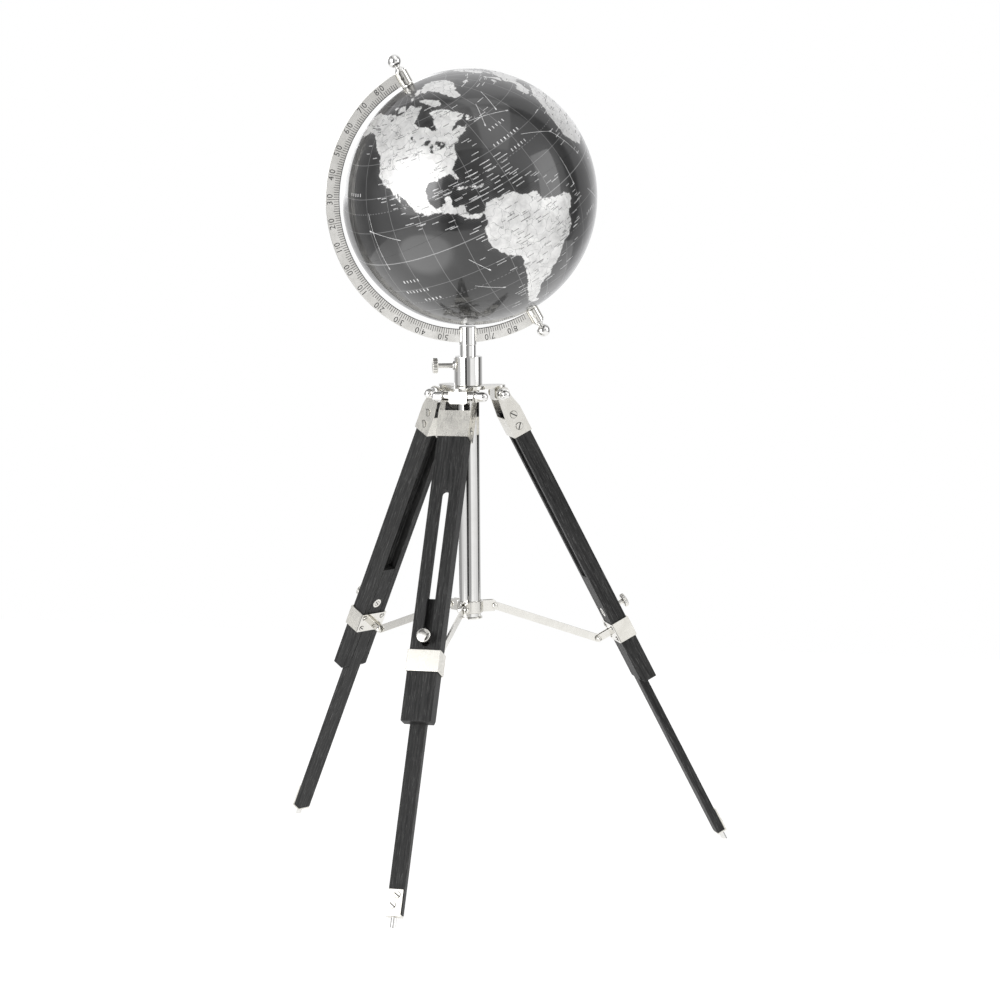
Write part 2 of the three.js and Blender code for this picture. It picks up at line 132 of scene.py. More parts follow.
def fillet(profile, radius):
    """Rounds the corners of an open profile, apart from its two ends."""
    points = [profile[0]]
    for before, here, after in zip(profile, profile[1:], profile[2:]):
        a, b, c = Vector(before), Vector(here), Vector(after)
        back, ahead = a - b, c - b
        reach = min(radius, back.length * 0.45, ahead.length * 0.45)
        start, end = b + back.normalized() * reach, b + ahead.normalized() * reach
        for t in (0, 0.5, 1):
            p = start * (1 - t) ** 2 + b * (2 * t * (1 - t)) + end * t * t
            points.append((p.x, p.y))
    points.append(profile[-1])
    return points


def lathe(profile, sides=64, rounding=0.3, teeth=0, tooth=0.0, from_r=0.0):
    """Turns a profile of (r, z) about z. Teeth ripple the points beyond from_r."""
    profile = fillet(profile, rounding) if rounding else profile
    sides = max(sides, teeth * 4)
    verts, faces = [], []
    for r, z in profile:
        for k in range(sides):
            a = 2 * math.pi * k / sides
            ripple = tooth * math.cos(teeth * a) if teeth and r > from_r else 0
            verts.append(((r + ripple) * math.cos(a), (r + ripple) * math.sin(a), z))
    for row in range(len(profile) - 1):
        for k in range(sides):
            a, b = row * sides + k, row * sides + (k + 1) % sides
            faces.append((a, b, b + sides, a + sides))
    return Shape().put(verts, faces)


def ring_lathe(profile, sides=64, rounding=0.3):
    """Turns a closed profile, such as a tube's wall."""
    mid = ((profile[0][0] + profile[-1][0]) / 2, (profile[0][1] + profile[-1][1]) / 2)
    return lathe([mid, *profile, mid], sides, rounding)


def tube(bore, outer, low, high, sides=96, rounding=0.3):
    """A tube about z, from its two radii and the heights of its ends."""
    return ring_lathe([(bore, low), (outer, low), (outer, high), (bore, high)], sides, rounding)


def both_ways(half):
    """A turned half laid along y, and again along -y."""
    laid = turned(-90, "X")
    return Shape().add(half, laid).add(half, turned(180, "Z") @ laid)


def prism(points, z0, z1, chamfer=0.0):
    """An outline in x and y, raised from z0 to z1, with its top edge cut back."""
    centre = Vector((sum(p[0] for p in points), sum(p[1] for p in points))) / len(points)
    size = max((Vector(p) - centre).length for p in points)
    inner = [centre + (Vector(p) - centre) * (1 - chamfer / size) for p in points]
    layers = [(points, z0), (points, z1 - chamfer)]
    if chamfer:
        layers.append((inner, z1))
    n = len(points)
    verts = [(p[0], p[1], z) for outline, z in layers for p in outline]
    faces = [tuple(range(n - 1, -1, -1))]
    for row in range(len(layers) - 1):
        for k in range(n):
            a, b = row * n + k, row * n + (k + 1) % n
            faces.append((a, b, b + n, a + n))
    faces.append(tuple((len(layers) - 1) * n + k for k in range(n)))
    return Shape().put(verts, faces)


def block(x0, x1, y0, y1, z0, z1):
    return prism([(x0, y0), (x1, y0), (x1, y1), (x0, y1)], z0, z1)


def polar(radius, degrees):
    angle = math.radians(degrees)
    return radius * math.cos(angle), radius * math.sin(angle)


def arc(radius, start, end, steps, centre=(0, 0)):
    """Points on an arc, in degrees."""
    spots = [polar(radius, start + (end - start) * i / steps) for i in range(steps + 1)]
    return [(centre[0] + x, centre[1] + y) for x, y in spots]


def slotted_head(radius, height, slot):
    """The two halves of a screw head on z = 0, with a slot between them along x."""
    head = Shape()
    foot, chamfer = 0.2, 0.2
    edge = math.degrees(math.asin(slot / 2 / radius))
    half = arc(radius, edge, 180 - edge, 14)
    for turn in (0, 180):
        head.add(prism(half, foot, height, chamfer), turned(turn, "Z"))
    return head


def screw_shade_disc(radius):
    """Painted shade under a screw head: a dark ring round the head and a dark floor in its slot, where
    shade falls.
    """
    rim, inner = radius + 0.32, radius - 0.08
    under, level, slot_floor = -0.2, 0.05, 0.49
    rim_side = [(0, under), (rim, under), (rim, level)]
    return lathe([*rim_side, (inner, level), (inner, slot_floor), (0, slot_floor)], 32, 0)


# Edges that turn by more than these are bevelled, and shaded sharp.
BEVEL_FROM, SHARP_FROM = math.radians(35), math.radians(40)


def in_scene(name, data):
    made = bpy.data.objects.new(name, data)
    bpy.context.scene.collection.objects.link(made)
    return made


def mesh_of(shape, bevel=0.0):
    mesh = bpy.data.meshes.new("piece")
    mesh.from_pydata([Vector(v) * MM for v in shape.verts], [], shape.faces)
    finish_mesh(mesh, bevel)
    return evened(mesh)


@contextmanager
def edited(mesh):
    work = bmesh.new()
    work.from_mesh(mesh)
    yield work
    work.to_mesh(mesh)
    work.free()


def finish_mesh(mesh, bevel):
    """Joins doubled points, bevels the sharp edges and shades the rest smooth."""
    with edited(mesh) as work:
        bmesh.ops.remove_doubles(work, verts=work.verts, dist=1e-6)
        bmesh.ops.dissolve_degenerate(work, edges=work.edges, dist=1e-7)
        bmesh.ops.recalc_face_normals(work, faces=work.faces)
        if bevel:
            edges = [e for e in work.edges if e.is_manifold and e.calc_face_angle(0) > BEVEL_FROM]
            bmesh.ops.bevel(
                work, geom=edges, offset=bevel * MM, offset_type="OFFSET", segments=2,
                profile=0.6, affect="EDGES", clamp_overlap=True,
            )
    mesh.polygons.foreach_set("use_smooth", [True] * len(mesh.polygons))
    mesh.set_sharp_from_angle(angle=SHARP_FROM)
    mesh.update()


def evened(mesh):
    """The mesh with its flat faces shaded flat and only its rounded edges shaded round."""
    holder = in_scene("evened", mesh)
    weigh = holder.modifiers.new("weigh", "WEIGHTED_NORMAL")
    weigh.weight = 100
    weigh.keep_sharp = True
    graph = bpy.context.evaluated_depsgraph_get()
    made = bpy.data.meshes.new_from_object(holder.evaluated_get(graph), depsgraph=graph)
    bpy.data.objects.remove(holder)
    bpy.data.meshes.remove(mesh)
    return made


# ---- materials


class Nodes:
    """Short names for making shader nodes in one material or world."""

    def __init__(self, owner):
        owner.use_nodes = True
        self.tree = owner.node_tree
        self.shader = self.tree.nodes.get("Principled BSDF")

    def feed(self, socket, value):
        if isinstance(value, bpy.types.NodeSocket):
            self.tree.links.new(value, socket)
        elif value is not None:
            socket.default_value = value

    def node(self, kind, inputs=None, **settings):
        """A node with its settings, its inputs fed with sockets or values."""
        made = self.tree.nodes.new(kind)
        for key, value in settings.items():
            setattr(made, key, value)
        for key, value in (inputs or {}).items():
            self.feed(made.inputs[key], value)
        return made

    def math(self, operation, a, b=None):
        return self.node("ShaderNodeMath", {0: a, 1: b}, operation=operation).outputs[0]

    def times(self, a, b):
        return self.math("MULTIPLY", a, b)

    def ramp(self, value, low, high, out_low=0.0, out_high=1.0):
        values = dict(enumerate((value, low, high, out_low, out_high)))
        return self.node("ShaderNodeMapRange", values, clamp=True).outputs[0]

    def mix(self, factor, a, b):
        return self.node("ShaderNodeMix", {0: factor, 6: a, 7: b}, data_type="RGBA").outputs[2]

    def mix_value(self, factor, a, b):
        return self.node("ShaderNodeMix", {0: factor, 2: a, 3: b}, data_type="FLOAT").outputs[0]

    def own(self, scale=(1, 1, 1)):
        """The piece's own coordinates, in millimetres, stretched by scale."""
        place = self.node("ShaderNodeTexCoord").outputs["Object"]
        stretch = [s / MM for s in scale]
        return self.node("ShaderNodeMapping", {"Vector": place, "Scale": stretch}).outputs[0]

    def noise(self, vector, scale, detail=4.0, rough=0.5, distort=0.0):
        values = {
            "Vector": vector, "Scale": scale, "Detail": detail,
            "Roughness": rough, "Distortion": distort,
        }
        return self.node("ShaderNodeTexNoise", values).outputs["Fac"]

    def bump(self, height, strength, distance):
        values = {"Height": height, "Strength": strength, "Distance": distance * MM}
        self.set(Normal=self.node("ShaderNodeBump", values).outputs[0])

    def set(self, **values):
        for name, value in values.items():
            self.feed(self.shader.inputs[name.replace("_", " ")], value)


def material(name):
    made = bpy.data.materials.new(name)
    return made, Nodes(made)


def grey(value, warm=0.0):
    return (value * (1 + warm * 0.5), value, value * (1 - warm * 1.5), 1)


def metal_look(name, tone, warm, rough, brushed, stretch=(1, 1, 1)):
    """Plated metal: smudges and fine scratches in its gloss and tone."""
    made, n = material(name)
    smudge = n.noise(n.own(), 0.09, 5, 0.6)
    lines = n.noise(n.own(stretch), 3.2, 3, 0.6)
    wear = n.ramp(smudge, 0.35, 0.75)
    dull = n.ramp(smudge, 0.3, 0.8, rough * 0.7, rough * 1.5)
    n.set(
        Base_Color=n.mix(wear, grey(tone, warm), grey(tone * 0.93, warm * 1.2)),
        Metallic=1.0,
        Roughness=n.math("ADD", dull, n.ramp(lines, 0.4, 0.7, 0, brushed)),
    )
    n.bump(lines, 0.06 + brushed, 0.05)
    return made


def wood_look(name):
    """Black-stained wood: long open grain, and its edges a little paler in patches."""
    made, n = material(name)
    grain = n.noise(n.own((1, 1, 0.03)), 0.7, 6, 0.68, 0.25)
    pores = n.noise(n.own((1, 1, 0.05)), 1.9, 3, 0.7)
    broad = n.noise(n.own((1, 1, 0.12)), 0.16, 3, 0.5)
    rounded = n.node("ShaderNodeBevel", {"Radius": 0.7 * MM}, samples=4).outputs[0]
    normal = n.node("ShaderNodeNewGeometry").outputs["Normal"]
    lean = n.node("ShaderNodeVectorMath", {0: rounded, 1: normal}, operation="DOT_PRODUCT")
    edge = n.ramp(lean.outputs["Value"], 0.995, 0.9)
    pale_edge = n.times(edge, n.ramp(broad, 0.42, 0.62))
    dark = n.mix(n.ramp(grain, 0.38, 0.66), grey(0.003), grey(0.036, 0.01))
    streak = n.mix(n.times(n.ramp(pores, 0.56, 0.72), 0.7), dark, grey(0.16, 0.01))
    n.set(
        Base_Color=n.mix(n.times(pale_edge, 0.5), streak, grey(0.2, 0.02)),
        Roughness=n.ramp(grain, 0.3, 0.7, 0.44, 0.6),
        Specular_IOR_Level=0.3,
    )
    n.bump(n.math("ADD", grain, n.times(pores, 0.5)), 0.35, 0.22)
    return made


def ink_and_shade_look(name, tone):
    """Flat dark paint: ink in engraved marks, and painted shade in screw slots, round screw heads and
    across the nut's face.
    """
    made, n = material(name)
    patch = n.noise(n.own(), 0.5, 3)
    n.set(Base_Color=n.mix(n.ramp(patch, 0.4, 0.7), grey(tone), grey(tone * 1.9)), Roughness=0.45)
    return made


def print_look(name, tone):
    """A printed mark under the globe's gloss."""
    made, n = material(name)
    patch = n.noise(n.own(), 0.12, 3)
    n.set(
        Base_Color=n.mix(n.ramp(patch, 0.35, 0.7), grey(tone * 0.6), grey(tone)),
        Roughness=0.35, Coat_Weight=1.0, Coat_Roughness=0.04,
    )
    return made


def grid_lines(n, angle, step, half, shrink=None):
    """Thin lines every step of an angle in degrees. Shrink narrows the step near the poles."""
    turns = n.math("ADD", n.math("DIVIDE", angle, step), 0.5)
    off = n.math("ABSOLUTE", n.math("SUBTRACT", n.math("FRACT", turns), 0.5))
    off = n.times(off, step)
    if shrink:
        off = n.times(off, shrink)
    return n.ramp(off, half, half * 1.8, 1, 0)


def map_net(n, place):
    """The map's lines: every fifteen degrees, the dashed tropics, and the equator apart."""
    x, y, z = n.node("ShaderNodeSeparateXYZ", {0: place}).outputs
    lat = n.math("DEGREES", n.math("ARCSINE", z))
    lon = n.math("DEGREES", n.math("ARCTAN2", y, x))
    across = n.math("SQRT", n.math("SUBTRACT", 1.0, n.times(z, z)))
    parallels = grid_lines(n, lat, 15, 0.1)
    meridians = grid_lines(n, lon, 15, 0.1, across)
    meridians = n.times(meridians, n.ramp(across, 0.16, 0.2))
    north = n.math("ABSOLUTE", lat)
    tropic = n.ramp(n.math("ABSOLUTE", n.math("SUBTRACT", north, 23.4)), 0.12, 0.24, 1, 0)
    dashes = n.ramp(n.math("FRACT", n.times(lon, 0.5)), 0.45, 0.5)
    net = n.math("MAXIMUM", n.math("MAXIMUM", parallels, meridians), n.times(tropic, dashes))
    return lat, net, n.ramp(north, 0.14, 0.28, 1, 0)


def sea_paint(n, place, shore, swell):
    """Charcoal water, hatched along the coasts, with the map's lines over it."""
    lat, net, equator = map_net(n, place)
    tint = n.noise(place, 2.1, 5, 0.55)
    sea = n.mix(n.ramp(tint, 0.36, 0.66), grey(0.0022, 0.01), grey(0.0095, 0.0))
    sea = n.mix(n.ramp(swell, 0.45, 0.8, 0, 0.6), sea, grey(0.018, 0.0))
    hatch = n.ramp(n.math("FRACT", n.times(lat, 1.4)), 0.5, 0.62)
    near = n.ramp(shore, -2.6, -0.3)
    sea = n.mix(n.times(n.times(hatch, near), 0.3), sea, grey(0.16))
    sea = n.mix(n.times(net, 0.34), sea, grey(0.42))
    return n.mix(n.times(equator, 0.5), sea, grey(0.4))


def land_foil(n, place, shore, relief):
    """Silver foil with wandering border lines and a darker line round the coast."""
    jitter = n.node("ShaderNodeTexNoise", {"Vector": place, "Scale": 12}).outputs["Color"]
    shift = n.node("ShaderNodeVectorMath", {0: jitter}, operation="SCALE")
    shift.inputs["Scale"].default_value = 0.16
    warped = n.node("ShaderNodeVectorMath", {0: place, 1: shift.outputs[0]}, operation="ADD")
    veins = {"Vector": warped.outputs[0], "Scale": 9}
    veins = n.node("ShaderNodeTexVoronoi", veins, feature="DISTANCE_TO_EDGE")
    border = n.ramp(veins.outputs["Distance"], 0.006, 0.02, 1, 0)
    foil = n.mix(n.ramp(relief, 0.3, 0.7), grey(0.62, 0.01), grey(0.98, 0.01))
    foil = n.mix(n.times(border, 0.7), foil, grey(0.16))
    rim = n.ramp(shore, 0.05, 0.32, 1, 0)
    return n.mix(n.times(rim, 0.55), foil, grey(0.1))


def globe_look(name):
    """Charcoal seas and silver-foil land under a thick gloss coat. The attribute
    "coast" is the distance inland in degrees, and "map_place" is the map's own axes."""
    made, n = material(name)
    inland = n.node("ShaderNodeAttribute", attribute_name="coast").outputs["Fac"]
    place = n.node("ShaderNodeAttribute", attribute_name="map_place").outputs["Vector"]
    fret = n.math("SUBTRACT", n.noise(place, 26, 7, 0.62), 0.5)
    shore = n.math("ADD", inland, n.times(fret, 3.4))
    land = n.ramp(shore, -0.06, 0.06)
    swell = n.noise(place, 9, 5, 0.6)
    relief = n.noise(place, 13, 8, 0.7, 0.4)
    sea_rough = n.ramp(swell, 0.3, 0.7, 0.3, 0.42)
    foil_rough = n.ramp(relief, 0.3, 0.7, 0.34, 0.5)
    n.set(
        Base_Color=n.mix(land, sea_paint(n, place, shore, swell), land_foil(n, place, shore, relief)),
        Metallic=n.mix_value(land, 0.0, 0.35),
        Roughness=n.mix_value(land, sea_rough, foil_rough),
        Coat_Weight=1.0, Coat_Roughness=0.06, Coat_IOR=1.5,
    )
    n.bump(n.noise(place, 40, 3), 0.02, 0.3)
    return made


CHROME = metal_look("chrome", tone=0.82, warm=0.015, rough=0.05, brushed=0.02)
NICKEL = metal_look(
    "nickel", tone=0.78, warm=0.035, rough=0.13, brushed=0.08, stretch=(1, 1, 0.05)
)
SATIN = metal_look(
    "satin_plate", tone=0.79, warm=0.045, rough=0.24, brushed=0.14, stretch=(1, 1, 0.04)
)
RING_LOOK = metal_look(
    "ring_plate", tone=0.83, warm=0.03, rough=0.22, brushed=0.1, stretch=(0.3, 1, 0.3)
)
WOOD = wood_look("black_wood")
INK = ink_and_shade_look("engraved_ink", 0.03)
# Painted shade: a flat dark paint for the screws' slots and the rings round their heads, where shade
# falls.
SLOT_SHADE = ink_and_shade_look("slot_shadow", 0.05)
GLOBE_LOOK = globe_look("globe_map")
WHITE_PRINT = print_look("white_print", 1.0)
DARK_PRINT = print_look("dark_print", 0.05)

# ---- pieces


def piece(name, mesh, place, body, look, *nodes):
    """A finished object that rides on a body and stands for the CAD nodes given."""
    made = in_scene(name, mesh)
    made.matrix_world = place
    mesh.materials.clear()
    mesh.materials.append(look)
    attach(made, body)
    if nodes:
        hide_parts(*nodes)
    return made


def refined(node, place, bevel, extra=None):
    """The CAD node's shape in a place's own axes, with flat faces made whole and
    its sharp edges rounded. Extra is a shape that is joined on."""
    mesh = frame["nodes"][node].data.copy()
    mesh.transform(place.inverted())
    with edited(mesh) as work:
        bmesh.ops.remove_doubles(work, verts=work.verts, dist=2e-6)
        bmesh.ops.dissolve_limit(
            work, angle_limit=math.radians(1), verts=work.verts, edges=work.edges
        )
    finish_mesh(mesh, bevel)
    if extra:
        with edited(mesh) as work:
            work.from_mesh(mesh_of(extra))
    return evened(mesh)


def refined_piece(name, node, place, body, look, bevel, extra=None):
    """A piece that keeps the shape of the CAD node it stands for."""
    return piece(name, refined(node, place, bevel, extra), place, body, look, node)


# ---- the map

GLOBE_R, GLOBE_WALL = 100.0, 2.5
# The printed map sits a few degrees off the pins: pole turned by these angles.
MAP_TURN = (
    Matrix.Rotation(math.radians(-85.8), 3, "Z")
    @ Matrix.Rotation(math.radians(8.8), 3, "Y")
    @ Matrix.Rotation(math.radians(63.2), 3, "Z")
)

# Coastlines as (longitude, latitude).
LANDS = {
    "north_america": [
        (-168, 66), (-162, 70), (-156, 71), (-141, 70), (-128, 70), (-115, 68), (-108, 68),
        (-95, 72), (-90, 69), (-82, 68), (-87, 64), (-94, 60), (-92, 57), (-85, 55), (-82, 52),
        (-79, 51), (-79, 55), (-77, 58), (-78, 62), (-70, 61), (-65, 59), (-61, 56), (-56, 52),
        (-60, 50), (-66, 50), (-70, 47), (-65, 48), (-64, 46), (-60, 46), (-66, 43), (-70, 43),
        (-71, 41), (-74, 40), (-76, 37), (-76, 35), (-81, 31), (-80, 26), (-81, 25), (-83, 29),
        (-85, 30), (-90, 29), (-94, 30), (-97, 28), (-98, 22), (-95, 18), (-91, 19), (-90, 21),
        (-87, 21), (-88, 16), (-83, 15), (-83, 10), (-79, 9), (-77, 8), (-80, 7), (-84, 9),
        (-88, 13), (-95, 16), (-101, 17), (-106, 21), (-109, 26), (-113, 31), (-114, 31),
        (-110, 23), (-114, 28), (-117, 33), (-121, 35), (-124, 40), (-124, 48), (-128, 51),
        (-134, 57), (-140, 60), (-150, 60), (-155, 58), (-162, 55), (-158, 58), (-165, 61),
        (-161, 64),
    ],
    "greenland": [
        (-73, 78), (-60, 82), (-35, 83.5), (-20, 81), (-18, 76), (-22, 71), (-32, 68),
        (-40, 65), (-44, 60), (-50, 62), (-53, 67), (-54, 71), (-60, 76), (-68, 76),
    ],
    "south_america": [
        (-77, 8), (-75, 11), (-72, 12), (-68, 11), (-62, 10.5), (-57, 6.5), (-51, 4.5),
        (-50, 0), (-44, -2.5), (-38, -4), (-35, -6), (-35, -9), (-39, -13), (-39, -18),
        (-42, -23), (-48, -26), (-49, -29), (-53, -33), (-57, -35), (-57, -38), (-62, -39),
        (-65, -42), (-66, -46), (-69, -51), (-66, -55), (-71, -54), (-75, -49), (-74, -42),
        (-73, -37), (-71, -30), (-70, -18.5), (-76, -14), (-81, -6), (-80, -2), (-80, 1),
        (-77, 4),
    ],
    "africa": [
        (-6, 35.5), (10, 37), (11, 34), (20, 31), (25, 32), (32, 31), (34, 27), (37, 20),
        (43, 12), (51, 12), (48, 5), (41, -3), (39, -8), (40, -15), (35, -20), (35, -25),
        (30, -31), (25, -34), (19, -34.5), (15, -27), (12, -18), (14, -11), (9, -1), (9, 4),
        (4, 6.5), (-4, 5), (-8, 4.5), (-13, 8), (-17, 14), (-16, 20), (-15, 25), (-10, 30),
    ],
    "eurasia": [
        (-9, 43), (-2, 43.5), (-1, 46), (-4, 48.5), (2, 51), (5, 53.5), (8, 54), (8, 57),
        (11, 57), (10, 54), (20, 54.5), (24, 58), (30, 60), (22, 60), (25, 65), (20, 63),
        (17, 60), (14, 56), (11, 59), (6, 58), (5, 62), (14, 68), (25, 71), (40, 67), (33, 66),
        (38, 64), (45, 67), (60, 69), (70, 73), (80, 73), (100, 77), (113, 74), (130, 71),
        (150, 71), (160, 70), (180, 69), (180, 65), (178, 62.5), (170, 60), (163, 58),
        (157, 51), (156, 58), (163, 61), (155, 59), (142, 59), (135, 55), (141, 53), (140, 48),
        (132, 43), (128, 40), (129, 36), (126, 35), (125, 39), (121, 40), (118, 39), (122, 37),
        (119, 35), (122, 31), (120, 26), (114, 22), (108, 21), (106, 19), (109, 12), (105, 9),
        (100, 13), (100, 8), (104, 1), (98, 10), (98, 16), (94, 16), (90, 22), (87, 21),
        (80, 15), (80, 10), (77, 8), (73, 18), (70, 21), (67, 25), (57, 26), (52, 28),
        (48, 30), (51, 26), (56, 24), (59, 22), (52, 16), (44, 13), (39, 21), (35, 28),
        (34, 31), (36, 36), (28, 37), (27, 40), (33, 42), (41, 41.5), (37, 45), (31, 46),
        (28, 43), (24, 41), (22, 37), (19, 42), (14, 45), (18, 40), (16, 38), (11, 43),
        (4, 43.5), (0, 40), (-2, 37), (-9, 37),
    ],
    "far_east_cape": [(-180, 69), (-170, 66), (-176, 64), (-180, 65)],
    "australia": [
        (114, -22), (122, -18), (130, -12), (136, -12), (136, -15), (140, -17), (142, -11),
        (146, -19), (153, -26), (151, -34), (146, -39), (140, -38), (135, -34), (130, -32),
        (124, -33), (116, -35),
    ],
    "antarctica": [
        (-180, -78), (-150, -76), (-120, -74), (-100, -73), (-75, -72), (-60, -64), (-58, -66),
        (-64, -74), (-40, -78), (-20, -73), (0, -70), (30, -69), (55, -66), (80, -68),
        (110, -66), (140, -67), (165, -71), (165, -78), (180, -78), (180, -90), (-180, -90),
    ],
    "baffin": [(-84, 73), (-72, 71), (-62, 66), (-66, 62), (-72, 64), (-78, 69)],
    "victoria": [(-117, 73), (-105, 73), (-102, 69), (-115, 69)],
    "ellesmere": [(-90, 77), (-80, 83), (-65, 82), (-78, 77)],
    "devon": [(-95, 77), (-80, 75), (-95, 74.5)],
    "banks": [(-124, 74), (-117, 73), (-122, 71)],
    "newfoundland": [(-59, 48), (-56, 51), (-53, 47)],
    "cuba": [(-85, 22), (-81, 23), (-74, 20), (-78, 20.5), (-82, 22)],
    "hispaniola": [(-74, 18.5), (-72, 20), (-68, 18.5)],
    "iceland": [(-24, 65), (-20, 66.5), (-14, 65), (-19, 63.5)],
    "britain": [(-5, 50), (1, 51.5), (-2, 55), (-3, 58.5), (-6, 57), (-3, 54)],
    "ireland": [(-10, 52), (-6, 52), (-6, 55), (-9, 54.5)],
    "madagascar": [(44, -25), (47, -25), (50, -15), (46, -16)],
    "japan": [(130, 32), (136, 34), (141, 36), (142, 40), (145, 43), (141, 45), (140, 40), (135, 36)],
    "sumatra": [(95, 5), (104, -2), (106, -6), (100, -2)],
    "java": [(105, -7), (114, -7), (115, -8.5), (106, -7.5)],
    "borneo": [(109, 1), (117, 7), (119, 5), (116, -4), (110, -3)],
    "celebes": [(119, -5), (120, 1), (125, 1), (121, -1), (122, -5)],
    "new_guinea": [(131, -1), (141, -3), (150, -10), (143, -9), (138, -8)],
    "philippines": [(120, 18), (122, 14), (126, 7), (122, 7), (120, 14)],
    "north_island": [(173, -35), (178, -38), (175, -41)],
    "south_island": [(172, -41), (174, -42), (169, -47), (167, -45)],
    "sri_lanka": [(80, 9), (82, 7), (80, 6)],
}
LAKES = {
    "superior": [(-92, 47), (-88, 48.5), (-85, 47), (-88, 46.6)],
    "michigan": [(-88, 42), (-86.5, 42), (-85.5, 45.5), (-87, 45)],
    "huron": [(-84, 46), (-80, 45), (-82, 43)],
    "erie": [(-83, 42), (-79, 42.8), (-81, 41.4)],
    "ontario": [(-79.5, 43.3), (-76.5, 44), (-77, 43.2)],
    "winnipeg": [(-99, 53.5), (-97, 53), (-97, 50.5)],
    "great_bear": [(-124, 66.5), (-119, 66.5), (-121, 65)],
    "great_slave": [(-117, 61), (-110, 62.5), (-114, 61)],
    "caspian": [(47, 45), (53, 46), (54, 40), (53, 37), (49, 38)],
    "black_sea_east": [(34, 44), (38, 44), (41, 42.5), (36, 42.5)],
    "victoria_lake": [(32, 0.5), (34, 0), (33, -2.5)],
    "baikal": [(104, 51.5), (110, 55.5), (107, 52)],
}


def inside_and_distance(lon, lat, outline):
    """For arrays of places: whether each is inside the outline, and how many
    degrees of arc it is from the outline."""
    inside = np.zeros(lon.shape, bool)
    nearest = np.full(lon.shape, 90.0)
    squeeze = np.cos(np.radians(lat))
    closing = outline[1:] + outline[:1]
    for (x0, y0), (x1, y1) in zip(outline, closing):
        if y0 != y1:
            crosses = (lat < y0) != (lat < y1)
            inside ^= crosses & (lon < x0 + (x1 - x0) * (lat - y0) / (y1 - y0))
        ax, ay = (lon - x0) * squeeze, lat - y0
        dx, dy = (x1 - x0) * squeeze, y1 - y0
        t = np.clip((ax * dx + ay * dy) / (dx * dx + dy * dy + 1e-9), 0, 1)
        nearest = np.minimum(nearest, np.hypot(ax - t * dx, ay - t * dy))
    return inside, nearest


def coast_distance(lon, lat):
    """Degrees inland, negative at sea."""
    inland = np.full(lon.shape, -90.0)
    for outline in LANDS.values():
        inside, off = inside_and_distance(lon, lat, outline)
        inland = np.maximum(inland, np.where(inside, off, -off))
    for outline in LAKES.values():
        inside, off = inside_and_distance(lon, lat, outline)
        inland = np.minimum(inland, np.where(inside, -off, off))
    return inland


def hemisphere():
    """A half globe in its own axes: rows from the equator to the pole's hole,
    with a lip turned in at both ends."""
    rows, columns, hole, seam = 90, 360, 3.2, 0.04
    low, high = math.asin(seam / GLOBE_R), math.acos(hole / GLOBE_R)
    angles = [low + (high - low) * i / rows for i in range(rows + 1)]
    outside = [(GLOBE_R * math.cos(a), GLOBE_R * math.sin(a)) for a in angles]
    inner = GLOBE_R - GLOBE_WALL
    return lathe([(inner, outside[0][1]), *outside, (hole, inner)], columns, 0)


def mark_map(mesh, turn):
    """Writes where each point of the globe lies on the map."""
    count = len(mesh.vertices)
    place = np.zeros(count * 3)
    mesh.vertices.foreach_get("co", place)
    place = place.reshape(-1, 3) @ np.array(turn.to_3x3()).T
    place /= np.linalg.norm(place, axis=1)[:, None]
    on_map = place @ np.array(MAP_TURN)
    lon = np.degrees(np.arctan2(on_map[:, 1], on_map[:, 0]))
    lat = np.degrees(np.arcsin(np.clip(on_map[:, 2], -1, 1)))
    coast = mesh.attributes.new("coast", "FLOAT", "POINT")
    coast.data.foreach_set("value", coast_distance(lon, lat).astype(np.float32))
    spot = mesh.attributes.new("map_place", "FLOAT_VECTOR", "POINT")
    spot.data.foreach_set("vector", on_map.astype(np.float32).ravel())


def on_globe(lon, lat, rise=0.0):
    """A place on the map, in the globe's own axes."""
    a, b = math.radians(lon), math.radians(lat)
    point = Vector((math.cos(b) * math.cos(a), math.cos(b) * math.sin(a), math.sin(b)))
    return (MAP_TURN @ point) * (GLOBE_R + rise)


def patch(shape, centre, along, length, width, rise=0.05):
    """A thin printed bar on the globe, length along a direction."""
    up = centre.normalized()
    side = up.cross(along).normalized()
    ahead = side.cross(up).normalized()
    corners = []
    for z in (-rise, rise):
        for i, j in ((-1, -1), (1, -1), (1, 1), (-1, 1)):
            corners.append(centre + ahead * (i * length / 2) + side * (j * width / 2) + up * z)
    shape.put(corners, BOX_FACES)


def caption_row(shape, lon, lat, marks, bar, chance):
    """A row of small bars along a parallel, in place of a printed name."""
    length, gap, height = bar
    step = math.degrees((length + gap) / GLOBE_R) / max(math.cos(math.radians(lat)), 0.2)
    for k in range(marks):
        here = lon + k * step
        centre = on_globe(here, lat)
        along = on_globe(here + 0.5, lat) - centre
        patch(shape, centre, along, length * chance.uniform(0.7, 1.1), height)


def great_circle(shape, start, end):
    """A thin line over the globe, with a barbed end."""
    width, barb, degrees_a_bar, overlap = 0.34, 2.2, 1.5, 1.02
    a, b = on_globe(*start).normalized(), on_globe(*end).normalized()
    count = max(4, int(math.degrees(a.angle(b)) / degrees_a_bar))
    points = [a.slerp(b, i / count) * GLOBE_R for i in range(count + 1)]
    for p, q in zip(points, points[1:]):
        patch(shape, (p + q) / 2, q - p, (q - p).length * overlap, width)
    patch(shape, points[-1], points[-1] - points[-2], barb, width * 3)


# Bars in place of print: the length of one, the gap after it and its height.
LAND_BAR, SEA_BAR = (0.5, 0.22, 0.62), (0.5, 0.18, 0.6)
ISLAND_BAR, OCEAN_BAR = (0.5, 0.14, 0.66), (1.0, 2.6, 2.4)
